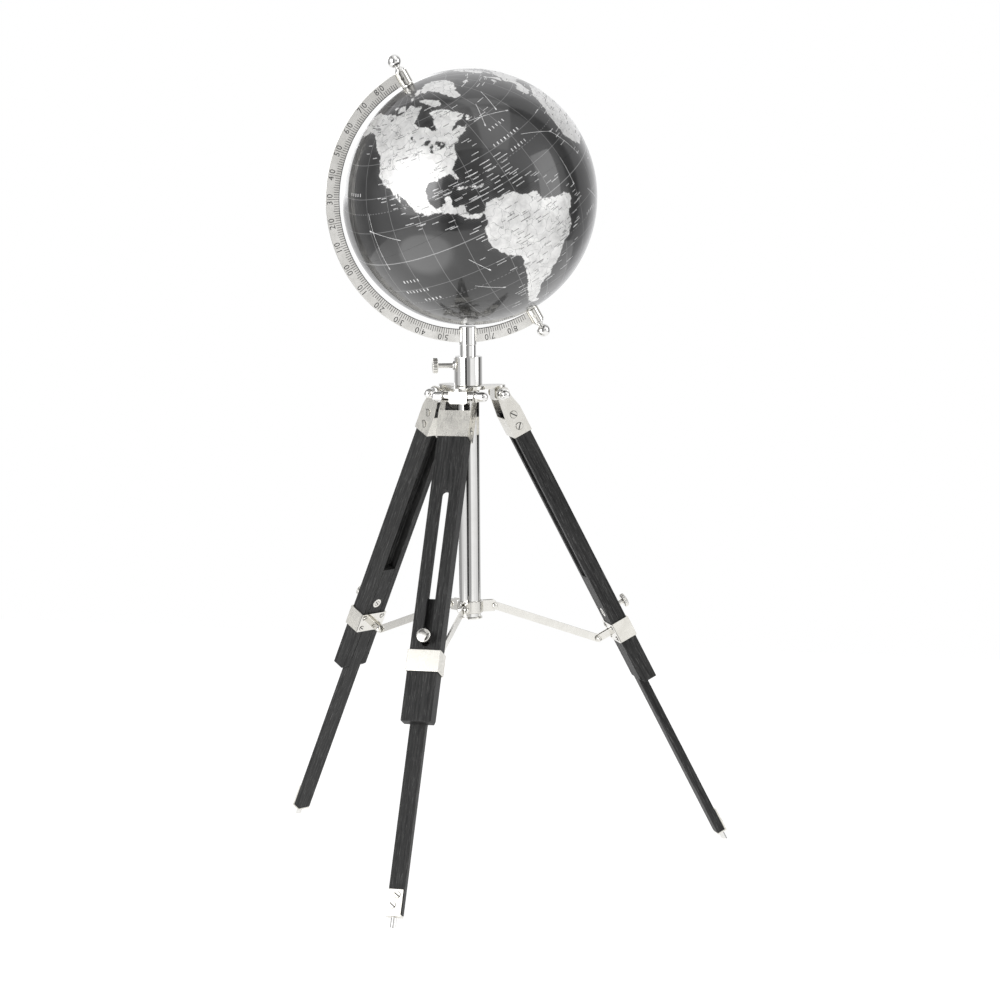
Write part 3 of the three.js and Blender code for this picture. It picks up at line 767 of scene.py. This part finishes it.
# Where rows of them start: (longitude, latitude), and for oceans how many bars.
ISLAND_NAMES = [
    (lon + 0.9 * (row % 3), 27 - 2.0 * row) for row in range(9) for lon in (-76, -68, -60)
] + [(-94, 26), (-92, 24), (-90, 22.5), (-86, 18.5), (-85, 14), (-82, 12), (-80, 16), (-84, 24)]
OCEAN_NAMES = [
    (-52, 38, 5), (-56, 31, 8), (-50, 25, 5), (-128, -10, 5), (-131, -16, 7), (-124, -22, 5),
    (-150, 32, 5), (-25, -22, 5), (72, -18, 6), (150, 20, 7), (155, 12, 7),
]
SCATTERED_NAMES = 1500
ROUTES = [
    ((-40, 28), (-24, 20)), ((-24, 20), (-16, 4)), ((-58, 47), (-34, 40)), ((-30, 55), (-38, 44)),
    ((-44, 52), (-52, 41)), ((-30, 9), (-30, -4)), ((-118, 10), (-135, 16)), ((-134, 24), (-132, -2)),
    ((-96, -22), (-84, -30)), ((-92, -8), (-86, -17)), ((-20, -12), (-6, -24)), ((150, 35), (170, 42)),
    ((60, -10), (85, -22)), ((160, -5), (178, -15)),
]


def map_prints():
    """Names become rows of bars: pale ones at sea and dark ones on land."""
    chance = random.Random(11)
    pale, dark = Shape(), Shape()
    spots = []
    for _ in range(SCATTERED_NAMES):
        lon = chance.uniform(-180, 180)
        spots.append((lon, math.degrees(math.asin(chance.uniform(-0.92, 0.92)))))
    inland = coast_distance(np.array([s[0] for s in spots]), np.array([s[1] for s in spots]))
    for (lon, lat), off in zip(spots, inland):
        if off > 1.2:
            caption_row(dark, lon, lat, chance.randint(4, 9), LAND_BAR, chance)
        elif -8 < off < -1.0:
            caption_row(pale, lon, lat, chance.randint(5, 12), SEA_BAR, chance)
    for lon, lat in ISLAND_NAMES:
        caption_row(pale, lon, lat, chance.randint(8, 15), ISLAND_BAR, chance)
    for lon, lat, marks in OCEAN_NAMES:
        caption_row(pale, lon, lat, marks, OCEAN_BAR, chance)
    for start, end in ROUTES:
        great_circle(pale, start, end)
    return pale, dark


PIN_BORE = 1.75
# The bush in a pole's hole, as radii and distances from the globe's centre.
BUSH = [(PIN_BORE, 96), (2.8, 96), (2.8, 100.15), (5, 100.15), (4.6, 101), (PIN_BORE, 101)]


def make_globe():
    half = hemisphere()
    for name, place in (("north", GLOBE), ("south", SOUTH)):
        mesh = mesh_of(half)
        mark_map(mesh, GLOBE.inverted() @ place)
        piece(f"globe_half_{name}", mesh, place, "globe", GLOBE_LOOK, f"globe_{name}_shell")
        bush = mesh_of(ring_lathe(BUSH, 40, 0.15))
        piece(f"globe_bush_{name}", bush, place, "globe", NICKEL, f"globe_{name}_bearing")
    pale, dark = map_prints()
    piece("map_marks_pale", mesh_of(pale), GLOBE, "globe", WHITE_PRINT)
    piece("map_marks_dark", mesh_of(dark), GLOBE, "globe", DARK_PRINT)


# ---- ring and finials

RING_IN, RING_OUT, RING_HALF, RING_OFFSET = 101.8, 112.5, 1.0, 2.8
RING_CENTRE = Matrix.Translation((-RING_OFFSET, 0, 0))
# The scale reaches this many degrees each way from the equator.
SCALE_END = 87
# How far ink stands off what it is printed on.
INK_RISE = 0.03
TICK_WIDTH, TICK_LONG, FIVES_LONG, TENS_LONG = 0.42, 4.1, 4.8, 9.4
# Ticks start this far out from the ring's inner edge, and its line lies between these.
TICK_FROM, LINE_FROM, LINE_TO = 0.3, 0.15, 0.6
DIGIT_SIZE, DIGIT_R, DIGIT_SPREAD = 6.6, 109.3, 2.7
SLEEVE_R, SLEEVE_NEAR, SLEEVE_FAR = 5.2, 101.4, 112.3
PIN_R, BALL_R, BALL_AT = 1.4, 5.2, 121.3
# The slotted grip under the ring, with its heights above the floor.
SPIGOT_R, SPIGOT_LOW = 4.6, 396
GRIP_R, GRIP_LOW, GRIP_FLOOR, GRIP_HIGH, GRIP_SLOT_HALF = 6.8, 413.9, 415.3, 428.2, 1.3


def ring_shape():
    """Half-circle plate in x and z, cut square beside the two sleeves."""
    clear = SLEEVE_R + 0.3 - RING_OFFSET
    outer = 90 + math.degrees(math.asin(clear / RING_OUT))
    inner = 90 + math.degrees(math.asin(clear / RING_IN))
    steps = 120
    edge = arc(RING_OUT, outer, 360 - outer, steps)
    edge += arc(RING_IN, 360 - inner, inner, steps)
    n = len(edge)
    verts = [(x - RING_OFFSET, side, z) for side in (-RING_HALF, RING_HALF) for x, z in edge]
    faces = []
    for k in range(steps):
        far = 2 * steps + 1 - k
        faces.append((k, k + 1, far - 1, far))
        faces.append((n + k + 1, n + k, n + far, n + far - 1))
    for k in range(n):
        nxt = (k + 1) % n
        faces.append((k, n + k, n + nxt, nxt))
    return Shape().put(verts, faces)


def ring_line(marks, side):
    """The line along the ring's inner edge, a box for each degree."""
    near, far = RING_IN + LINE_FROM, RING_IN + LINE_TO
    for step in range(-SCALE_END, SCALE_END):
        start, end = 180 + step, 181 + step
        flat = [polar(near, start), polar(far, start), polar(far, end), polar(near, end)]
        verts = [(x, side * RING_HALF + rise, z) for rise in (-INK_RISE, INK_RISE) for x, z in flat]
        marks.put(verts, BOX_FACES, RING_CENTRE)


def ring_marks():
    """A line along the inner edge, and a tick every degree, longer every 5 and 10."""
    marks = Shape()
    start, half = RING_IN + TICK_FROM, TICK_WIDTH / 2
    for side in (-1, 1):
        ring_line(marks, side)
    for tick in range(-SCALE_END, SCALE_END + 1):
        long = TENS_LONG if tick % 10 == 0 else FIVES_LONG if tick % 5 == 0 else TICK_LONG
        turn = turned(-180 - tick, "Y")
        for side in (-RING_HALF, RING_HALF):
            bar = block(start, start + long, side - INK_RISE, side + INK_RISE, -half, half)
            marks.add(bar, RING_CENTRE @ turn)
    return marks


def digit_shape(text):
    """The outline of a digit as a thin solid, centred, in x and y."""
    curve = bpy.data.curves.new("digit", "FONT")
    curve.body = text
    curve.size = DIGIT_SIZE
    curve.align_x = "CENTER"
    curve.align_y = "CENTER"
    curve.extrude = INK_RISE
    curve.resolution_u = 3
    holder = in_scene("digit", curve)
    shown = holder.evaluated_get(bpy.context.evaluated_depsgraph_get())
    mesh = bpy.data.meshes.new_from_object(shown)
    verts = [tuple(v.co) for v in mesh.vertices]
    faces = [tuple(p.vertices) for p in mesh.polygons]
    bpy.data.objects.remove(holder)
    bpy.data.curves.remove(curve)
    bpy.data.meshes.remove(mesh)
    return Shape().put(verts, faces)


def ring_numbers():
    """Dial numbers every ten degrees from the equator, a digit each side of a tick."""
    digits = {d: digit_shape(d) for d in "0123456789"}
    numbers = Shape()
    for tick in range(-80, 81, 10):
        text = f"{abs(tick):02d}"
        for side in (-1, 1):
            for place, digit in zip((-1, 1), text):
                angle = 180 + tick + side * place * math.degrees(DIGIT_SPREAD / DIGIT_R)
                # Digits read from outside the ring, their feet towards the globe.
                lie = turned(90, "X")
                if side > 0:
                    lie = turned(180, "Z") @ lie
                foot = turned(90 - angle, "Y")
                at = Matrix.Translation((0, side * RING_HALF, DIGIT_R))
                numbers.add(digits[digit], RING_CENTRE @ foot @ at @ lie)
    return numbers


def finial_shape():
    """Pin, foot disc, cone, neck and ball, from inside the globe outwards."""
    pin = [(0, 90), (PIN_R, 90), (PIN_R, 112.6)]
    foot = [(4.4, 112.6), (4.4, 113.5), (3.9, 113.8), (3.3, 114.5), (2.2, 115.7), (1.8, 116.45)]
    ball = arc(BALL_R, -69, 90, 28, (0, BALL_AT))
    return lathe([*pin, *foot, *ball], 64, 0.12)


def set_screw_shape():
    """Screw end in the sleeve's side, along x."""
    seat = lathe([(0, -0.3), (1.4, -0.3), (1.4, 0.05), (0, 0.05)], 24, 0)
    head = slotted_head(1.5, 0.35, 0.45).add(seat)
    out = Matrix.Translation((SLEEVE_R, 0, (SLEEVE_NEAR + SLEEVE_FAR) / 2))
    return Shape().add(head, out @ turned(90, "Y"))


def grip_shape():
    """A spigot and a floor, with a jaw each side of the slot that the ring sits in."""
    spigot = [(0, SPIGOT_LOW), (SPIGOT_R, SPIGOT_LOW), (SPIGOT_R, GRIP_LOW)]
    grip = lathe([*spigot, (GRIP_R, GRIP_LOW), (GRIP_R, GRIP_FLOOR), (0, GRIP_FLOOR)], 64, 0.2)
    edge = math.degrees(math.asin(GRIP_SLOT_HALF / GRIP_R))
    jaw = prism(arc(GRIP_R, edge, 180 - edge, 30), GRIP_FLOOR - 0.2, GRIP_HIGH, 0.6)
    for turn in (0, 180):
        grip.add(jaw, turned(turn, "Z"))
    return grip


def make_head():
    piece("meridian_plate", mesh_of(ring_shape(), 0.25), GLOBE, "head", RING_LOOK, "meridian_ring")
    piece("ring_ticks", mesh_of(ring_marks()), GLOBE, "head", INK)
    piece("ring_digits", mesh_of(ring_numbers()), GLOBE, "head", INK)
    # The set screws face the way that the photograph shows, in degrees round each pin.
    for name, place, screw_turn in (("north", GLOBE, -112), ("south", SOUTH, -68)):
        sleeve = mesh_of(tube(PIN_BORE, SLEEVE_R, SLEEVE_NEAR, SLEEVE_FAR, 64))
        piece(f"pole_sleeve_{name}", sleeve, place, "head", NICKEL, f"sleeve_{name}")
        screw_at = place @ turned(screw_turn, "Z")
        screw = mesh_of(set_screw_shape())
        piece(f"pole_screw_{name}", screw, screw_at, "head", NICKEL, f"set_screw_{name}")
        finial = mesh_of(finial_shape())
        piece(f"pole_finial_{name}", finial, place, "head", CHROME, f"finial_{name}")
    piece("ring_grip", mesh_of(grip_shape()), HEAD, "head", CHROME, "ring_ferrule")


# ---- stand

# Bore, radius, foot and top of each tube, the last two above the floor.
MAST = (4.9, 6.4, 228, 413.6)
COLUMN_TUBE = (6.8, 8.7, 197, 381.5)
COLUMN_RING = (6.4, 9.8, 195.4, 196.7)
SOCKET = (6.7, 11.2, 381.8, 404.6)
# The boss on the socket that the thumbscrew goes through, from the column's middle outwards.
BOSS_R, BOSS_NEAR, BOSS_FAR, BOSS_CHAMFER = 3.6, 9.5, 12.4, 0.5


def knurled_head(radius, near, far, shank, tip, teeth):
    """A knurled head on a plain shank, along z."""
    step, knurl = 0.5, 0.17
    stem = [(0, tip), (shank, tip), (shank, near)]
    rim = [(radius - step, near), (radius, near + step), (radius, far - step), (radius - step, far)]
    dome = [(radius * 0.55, far + 0.35), (0, far + 0.5)]
    return lathe([*stem, *rim, *dome], 96, 0.12, teeth, knurl, radius - step * 0.6)


def socket_shape():
    low = BOSS_FAR - BOSS_CHAMFER
    boss = [(BOSS_R, BOSS_NEAR), (BOSS_R, low), (BOSS_R - BOSS_CHAMFER, BOSS_FAR), (0, BOSS_FAR)]
    return tube(*SOCKET, rounding=0.7).add(lathe(boss, 40, 0.2), STAND_FROM_SCREW)


def make_stand():
    piece("mast_pipe", mesh_of(tube(*MAST)), STAND, "mast", CHROME, "mast_tube")
    piece("column_pipe", mesh_of(tube(*COLUMN_TUBE)), STAND, "base", CHROME, "column_tube")
    end_ring = mesh_of(tube(*COLUMN_RING, 64))
    piece("column_foot_ring", end_ring, STAND, "base", NICKEL, "column_end_ring")
    piece("mast_clamp_socket", mesh_of(socket_shape()), STAND, "base", CHROME, "mast_socket")
    thumb = knurled_head(radius=5.8, near=24, far=28.1, shank=1.9, tip=6.75, teeth=26)
    piece("mast_clamp_screw", mesh_of(thumb), SCREW, "thumbscrew", NICKEL, "mast_thumbscrew")
    refined_piece("hub_casting", "hub_plate", STAND, "base", NICKEL, 0.45)
    refined_piece("sliding_collar", "spreader_collar", STAND, "spreader", NICKEL, 0.3)


# ---- legs

# How far down a leg from its pivot things are, and how far out and across.
BRACKET_SCREWS_DOWN, BRACKET_SIDE = (18.4, 28.8), 13.1
CLEVIS_SCREWS_DOWN, CLEVIS_SIDE, CLEVIS_FACE = (212.6, 222.4), 9.4, -7.8
FOOT_SCREWS, FOOT_FACE = ((1.4, -396.6), (-1.2, -404.4)), 1.6
KNOB_DOWN = 199.8
# Radii of the screw heads, how proud they stand and how wide their slots are.
BRACKET_SCREW, CLEVIS_SCREW, FOOT_SCREW = 2.75, 1.95, 2.45
SCREW_PROUD, SCREW_SLOT = 0.78, 0.75
# Hinge bolt: radius and reach of its shank between the ears, its flange and its acorn.
BOLT_R, BOLT_EAR, BOLT_FLANGE, ACORN_R, ACORN_RISE = 2.5, 13.4, 4.7, 3.9, 3.6


def bolt_half():
    """Half of the acorn-ended bolt across the leg's ears."""
    dome_from = BOLT_EAR + 6
    shank = [(0, 0), (BOLT_R, 0), (BOLT_R, BOLT_EAR), (BOLT_FLANGE, BOLT_EAR)]
    barrel = [(BOLT_FLANGE, BOLT_EAR + 1.2), (ACORN_R, BOLT_EAR + 1.4), (ACORN_R, dome_from)]
    round_end = [polar(1, degrees) for degrees in range(15, 91, 15)]
    dome = [(ACORN_R * x, dome_from + ACORN_RISE * y) for x, y in round_end]
    return lathe([*shank, *barrel, *dome], 48, 0.15)


def rivet_half():
    """Half of a rivet through the collar's ears, with its domed head."""
    shank = [(0, 0), (1.3, 0), (1.3, 2.9)]
    return lathe([*shank, (2.4, 2.9), (2.1, 4), (1.2, 4.6), (0, 4.8)], 32, 0.15)


def screw_row(spots, normal, radius, chance):
    """Slotted heads at points in the leg's axes, and the dark discs of painted shade under them."""
    heads, shade_discs = Shape(), Shape()
    face = Vector(normal).to_track_quat("Z", "Y").to_matrix().to_4x4()
    for spot in spots:
        at = Matrix.Translation(spot) @ face @ turned(chance.uniform(-70, 70), "Z")
        heads.add(slotted_head(radius, SCREW_PROUD, SCREW_SLOT), at)
        shade_discs.add(screw_shade_disc(radius), at)
    return heads, shade_discs


def make_upper_leg(number, chance):
    """The channelled leg, its plated bracket and band, its cross plate and their screws."""
    place, body = LEG[number], f"leg_{number}"
    bracket_screws, shade_discs = Shape(), Shape()
    for side in (-1, 1):
        spots = [(0, side * BRACKET_SIDE, -down) for down in BRACKET_SCREWS_DOWN]
        heads, rims = screw_row(spots, (0, side, 0), BRACKET_SCREW, chance)
        bracket_screws.add(heads)
        shade_discs.add(rims)
    spots = [
        (CLEVIS_FACE, side * CLEVIS_SIDE, -down) for side in (-1, 1) for down in CLEVIS_SCREWS_DOWN
    ]
    clevis_screws, rims = screw_row(spots, (-1, 0, 0), CLEVIS_SCREW, chance)
    shade_discs.add(rims)
    # Dark discs of painted shade round the bracket and cross plate screws, and in their slots.
    piece(f"screw_shade_discs_{number}", mesh_of(shade_discs), place, body, SLOT_SHADE)
    for name, node, look, bevel, extra in (
        ("top_bracket", "leg_bracket", SATIN, 0.35, bracket_screws),
        ("cross_plate", "arm_clevis", NICKEL, 0.25, clevis_screws),
        ("side_band", "leg_band", SATIN, 0.35, None),
        ("channel_leg", "upper_leg", WOOD, 0.55, None),
    ):
        refined_piece(f"{name}_{number}", f"{node}_{number}", place, body, look, bevel, extra)


def make_lower_leg(number, chance):
    """The sliding bar, its foot's angle plate and stud, and the clamp's nut and knob."""
    place, body = LEG[number], f"lower_leg_{number}"
    spots = [(FOOT_FACE, across, up) for across, up in FOOT_SCREWS]
    foot_screws, rims = screw_row(spots, (1, 0, 0), FOOT_SCREW, chance)
    # Dark discs of painted shade round the foot screws, and in their slots.
    piece(f"foot_screw_seats_{number}", mesh_of(rims), place, body, SLOT_SHADE)
    for name, node, look, bevel, extra in (
        ("sliding_bar", "lower_leg", WOOD, 0.5, None),
        ("foot_angle", "foot_plate", SATIN, 0.25, foot_screws),
        ("foot_tip", "foot_stud", CHROME, 0.25, None),
    ):
        refined_piece(f"{name}_{number}", f"{node}_{number}", place, body, look, bevel, extra)
    nut_node = f"leg_nut_{number}"
    nut = refined_piece(f"hidden_nut_{number}", nut_node, place, body, NICKEL, 0.2)
    face = min(v.co.x for v in nut.data.vertices) / MM
    # A flat dark bar of painted shade across the nut's face, standing for its shaded slot.
    slot = block(face - 0.06, face + 0.1, -2.0, 2.0, -0.4, 0.4)
    clamp_at = place @ Matrix.Translation((0, 0, -KNOB_DOWN * MM))
    slot_at = clamp_at @ Matrix.Rotation(chance.uniform(0.5, 1.1), 4, "X")
    piece(f"nut_slot_shade_{number}", mesh_of(slot), slot_at, body, SLOT_SHADE)
    knob = mesh_of(knurled_head(radius=5.4, near=11.8, far=15.3, shank=2.0, tip=-6.5, teeth=24))
    knob_at = clamp_at @ turned(90, "Y")
    piece(f"clamp_knob_{number}", knob, knob_at, f"knob_{number}", NICKEL, f"leg_knob_{number}")


def make_linkage(number):
    """The leg's hinge bolt, and the arm with the rivet that holds it to the collar."""
    across = turned(leg_azimuth(number), "Z")
    bolt_at = Matrix.Translation(Vector(JOINTS[f"fold_{number}"]["pos_m"])) @ across
    bolt = mesh_of(both_ways(bolt_half()))
    piece(f"hinge_bolt_{number}", bolt, bolt_at, "base", CHROME, f"pivot_bolt_{number}")
    pin_at = Matrix.Translation(Vector(JOINTS[f"arm_turn_{number}"]["pos_m"])) @ across
    rivet = mesh_of(both_ways(rivet_half()))
    piece(f"collar_rivet_{number}", rivet, pin_at, "spreader", NICKEL, f"spreader_pin_{number}")
    arm = f"spreader_arm_{number}"
    refined_piece(f"brace_arm_{number}", arm, pin_at, f"arm_{number}", NICKEL, 0.25)


def make_leg(number):
    chance = random.Random(number)
    make_upper_leg(number, chance)
    make_lower_leg(number, chance)
    make_linkage(number)


# ---- floor, light and camera

# The photograph's view: how far round the camera stands, and its distance and height in metres.
VIEW_AZIMUTH = math.radians(16)
CAMERA_BACK, CAMERA_HEIGHT = 2.3476, 0.6031
# How far the camera looks to the right of the column and down, and its roll, in radians.
CAMERA_YAW, CAMERA_PITCH, CAMERA_ROLL = 0.0104, 0.1326, -0.0071
CAMERA_LENS = 107.36


def make_camera():
    data = bpy.data.cameras.new("camera")
    data.lens = CAMERA_LENS
    data.sensor_width = 36
    data.clip_end = 30
    made = in_scene("camera", data)
    round_stand = STAND @ Matrix.Rotation(VIEW_AZIMUTH, 4, "Z")
    back = Matrix.Translation((0, -CAMERA_BACK, CAMERA_HEIGHT))
    yaw = Matrix.Rotation(-CAMERA_YAW, 4, "Z")
    pitch = Matrix.Rotation(math.pi / 2 - CAMERA_PITCH, 4, "X")
    roll = Matrix.Rotation(CAMERA_ROLL, 4, "Z")
    made.matrix_world = round_stand @ back @ yaw @ pitch @ roll
    bpy.context.scene.camera = made


def soft_box(name, azimuth, elevation, distance, size, power):
    """An area light aimed at the globe. Azimuth is counted from the camera, to the right."""
    target = Vector((COLUMN.x, COLUMN.y, 0.42))
    a, e = math.radians(azimuth) + VIEW_AZIMUTH, math.radians(elevation)
    back = Vector((math.sin(a) * math.cos(e), -math.cos(a) * math.cos(e), math.sin(e)))
    data = bpy.data.lights.new(name, "AREA")
    data.shape = "RECTANGLE"
    data.size, data.size_y = size
    data.energy = power
    made = in_scene(name, data)
    made.location = target + back * distance
    made.rotation_mode = "QUATERNION"
    made.rotation_quaternion = back.to_track_quat("Z", "Y")


# The studio round the object: (degrees to the right of the camera, brightness).
STUDIO = [
    (-180, 0.95), (-141, 0.95), (-136, 0.4), (-104, 0.4), (-96, 0.65), (-80, 0.9), (-30, 1.0),
    (-26, 0.02), (-12, 0.02), (-9, 0.48), (12, 0.5), (17, 1.0), (60, 1.0), (66, 0.8), (98, 0.75),
    (101, 0.1), (113, 0.1), (118, 0.62), (138, 0.6), (144, 0.9), (180, 0.95),
]
# Bright panels that only polished things show: sides in degrees, foot and top as slopes,
# and what they add.
PANELS = [(-72, -32, -0.03, 0.5, 3.4), (-174, -142, -0.06, 0.34, 1.7)]
# Dark cards, one level with the globe and one overhead, and what they take away.
CARDS = [(22, 54, -0.035, 0.4, 0.6), (-80, 15, 0.68, 1.15, 0.8)]
DIFFUSE_SKY = 0.36


def make_world():
    """A white studio with dark gaps for the metal to show. The camera sees white."""
    world = bpy.data.worlds.new("studio")
    bpy.context.scene.world = world
    n = Nodes(world)
    n.tree.nodes.clear()
    place = n.node("ShaderNodeTexCoord").outputs["Generated"]
    x, y, z = n.node("ShaderNodeSeparateXYZ", {0: place}).outputs
    angle = n.math("ARCTAN2", x, n.times(y, -1.0))
    rounds = n.math("DIVIDE", n.math("SUBTRACT", angle, VIEW_AZIMUTH), 2 * math.pi)
    wrap = n.math("FRACT", n.math("ADD", rounds, 1.5))
    ramp = n.node("ShaderNodeValToRGB", {0: wrap})
    stops = ramp.color_ramp.elements
    while len(stops) < len(STUDIO):
        stops.new(0.5)
    for stop, (degrees, bright) in zip(stops, STUDIO):
        stop.position = degrees / 360 + 0.5
        stop.color = (bright, bright, bright * 1.01, 1)

    def window(left, right, foot, top):
        """One inside the sides and slopes given, fading to nought at its edges."""
        start, end = left / 360 + 0.5, right / 360 + 0.5
        opening, closing = n.ramp(wrap, start - 0.01, start), n.ramp(wrap, end, end + 0.01, 1, 0)
        rising, falling = n.ramp(z, foot, foot + 0.05), n.ramp(z, top - 0.08, top, 1, 0)
        wide, high = n.times(opening, closing), n.times(rising, falling)
        return n.times(wide, high)

    flat = n.node("ShaderNodeMapping", {"Vector": place, "Scale": (1, 1, 0.25)})
    level = n.ramp(n.noise(flat.outputs[0], 1.7, 1), 0.38, 0.62, 0.78, 1.08)
    for left, right, foot, top, loss in CARDS:
        lit = n.math("SUBTRACT", 1.0, n.times(window(left, right, foot, top), loss))
        level = n.times(level, lit)
    for left, right, foot, top, glow in PANELS:
        lit = n.times(window(left, right, foot, top), glow)
        level = n.math("ADD", level, lit)
    mixed = {0: 1.0, 6: ramp.outputs[0], 7: level}
    shade = n.node("ShaderNodeMix", mixed, data_type="RGBA", blend_type="MULTIPLY")
    ray = n.node("ShaderNodeLightPath").outputs
    soft = n.mix(ray["Is Diffuse Ray"], shade.outputs[2], grey(DIFFUSE_SKY))
    shown = n.mix(ray["Is Camera Ray"], soft, (1, 1, 1, 1))
    background = n.node("ShaderNodeBackground", {0: shown})
    n.node("ShaderNodeOutputWorld", {0: background.outputs[0]})


# The floor, and a brighter patch in front of it to the left, that the camera can't tell
# from the white floor but the globe's gloss shows. Sizes in metres.
FLOOR_HALF, FLOOR_DROP = 1.0, 0.0002
GLOW_OFF, GLOW_AZIMUTH, GLOW_R = 0.66, math.radians(-50), (0.3, 0.38)
FLOOR_GLOW, PATCH_GLOW = 0.8, 2.3


def floor_look():
    made, n = material("floor")
    n.set(Base_Color=grey(0.45), Roughness=0.9, Specular_IOR_Level=0.0,
          Emission_Color=grey(1.0))
    spot = n.node("ShaderNodeTexCoord").outputs["Object"]
    aim = VIEW_AZIMUTH + GLOW_AZIMUTH
    middle_of_patch = (
        COLUMN.x + GLOW_OFF * math.sin(aim), COLUMN.y - GLOW_OFF * math.cos(aim), 0
    )
    off = n.node("ShaderNodeVectorMath", {0: spot, 1: middle_of_patch}, operation="DISTANCE")
    glow = n.ramp(off.outputs["Value"], *GLOW_R, PATCH_GLOW, FLOOR_GLOW)
    n.set(Emission_Strength=glow)
    return made


def make_floor():
    mesh = bpy.data.meshes.new("floor")
    corners = [(-1, -1), (1, -1), (1, 1), (-1, 1)]
    places = [(x * FLOOR_HALF, y * FLOOR_HALF, -FLOOR_DROP) for x, y in corners]
    mesh.from_pydata(places, [], [(0, 1, 2, 3)])
    mesh.materials.append(floor_look())
    in_scene("floor", mesh)


# Name, azimuth and elevation in degrees, distance and size in metres, and watts.
SOFT_BOXES = [
    ("window_left", -44, 12, 1.9, (1.3, 1.5), 9),
    ("top_light", 10, 72, 1.9, (1.8, 1.8), 7),
    ("fill_right", 76, 14, 2.0, (0.8, 1.5), 7),
]

make_camera()
make_world()
make_floor()
for light in SOFT_BOXES:
    soft_box(*light)
bpy.context.scene.view_settings.view_transform = "Standard"

make_globe()
make_head()
make_stand()
for number in LEG_NUMBERS:
    make_leg(number)
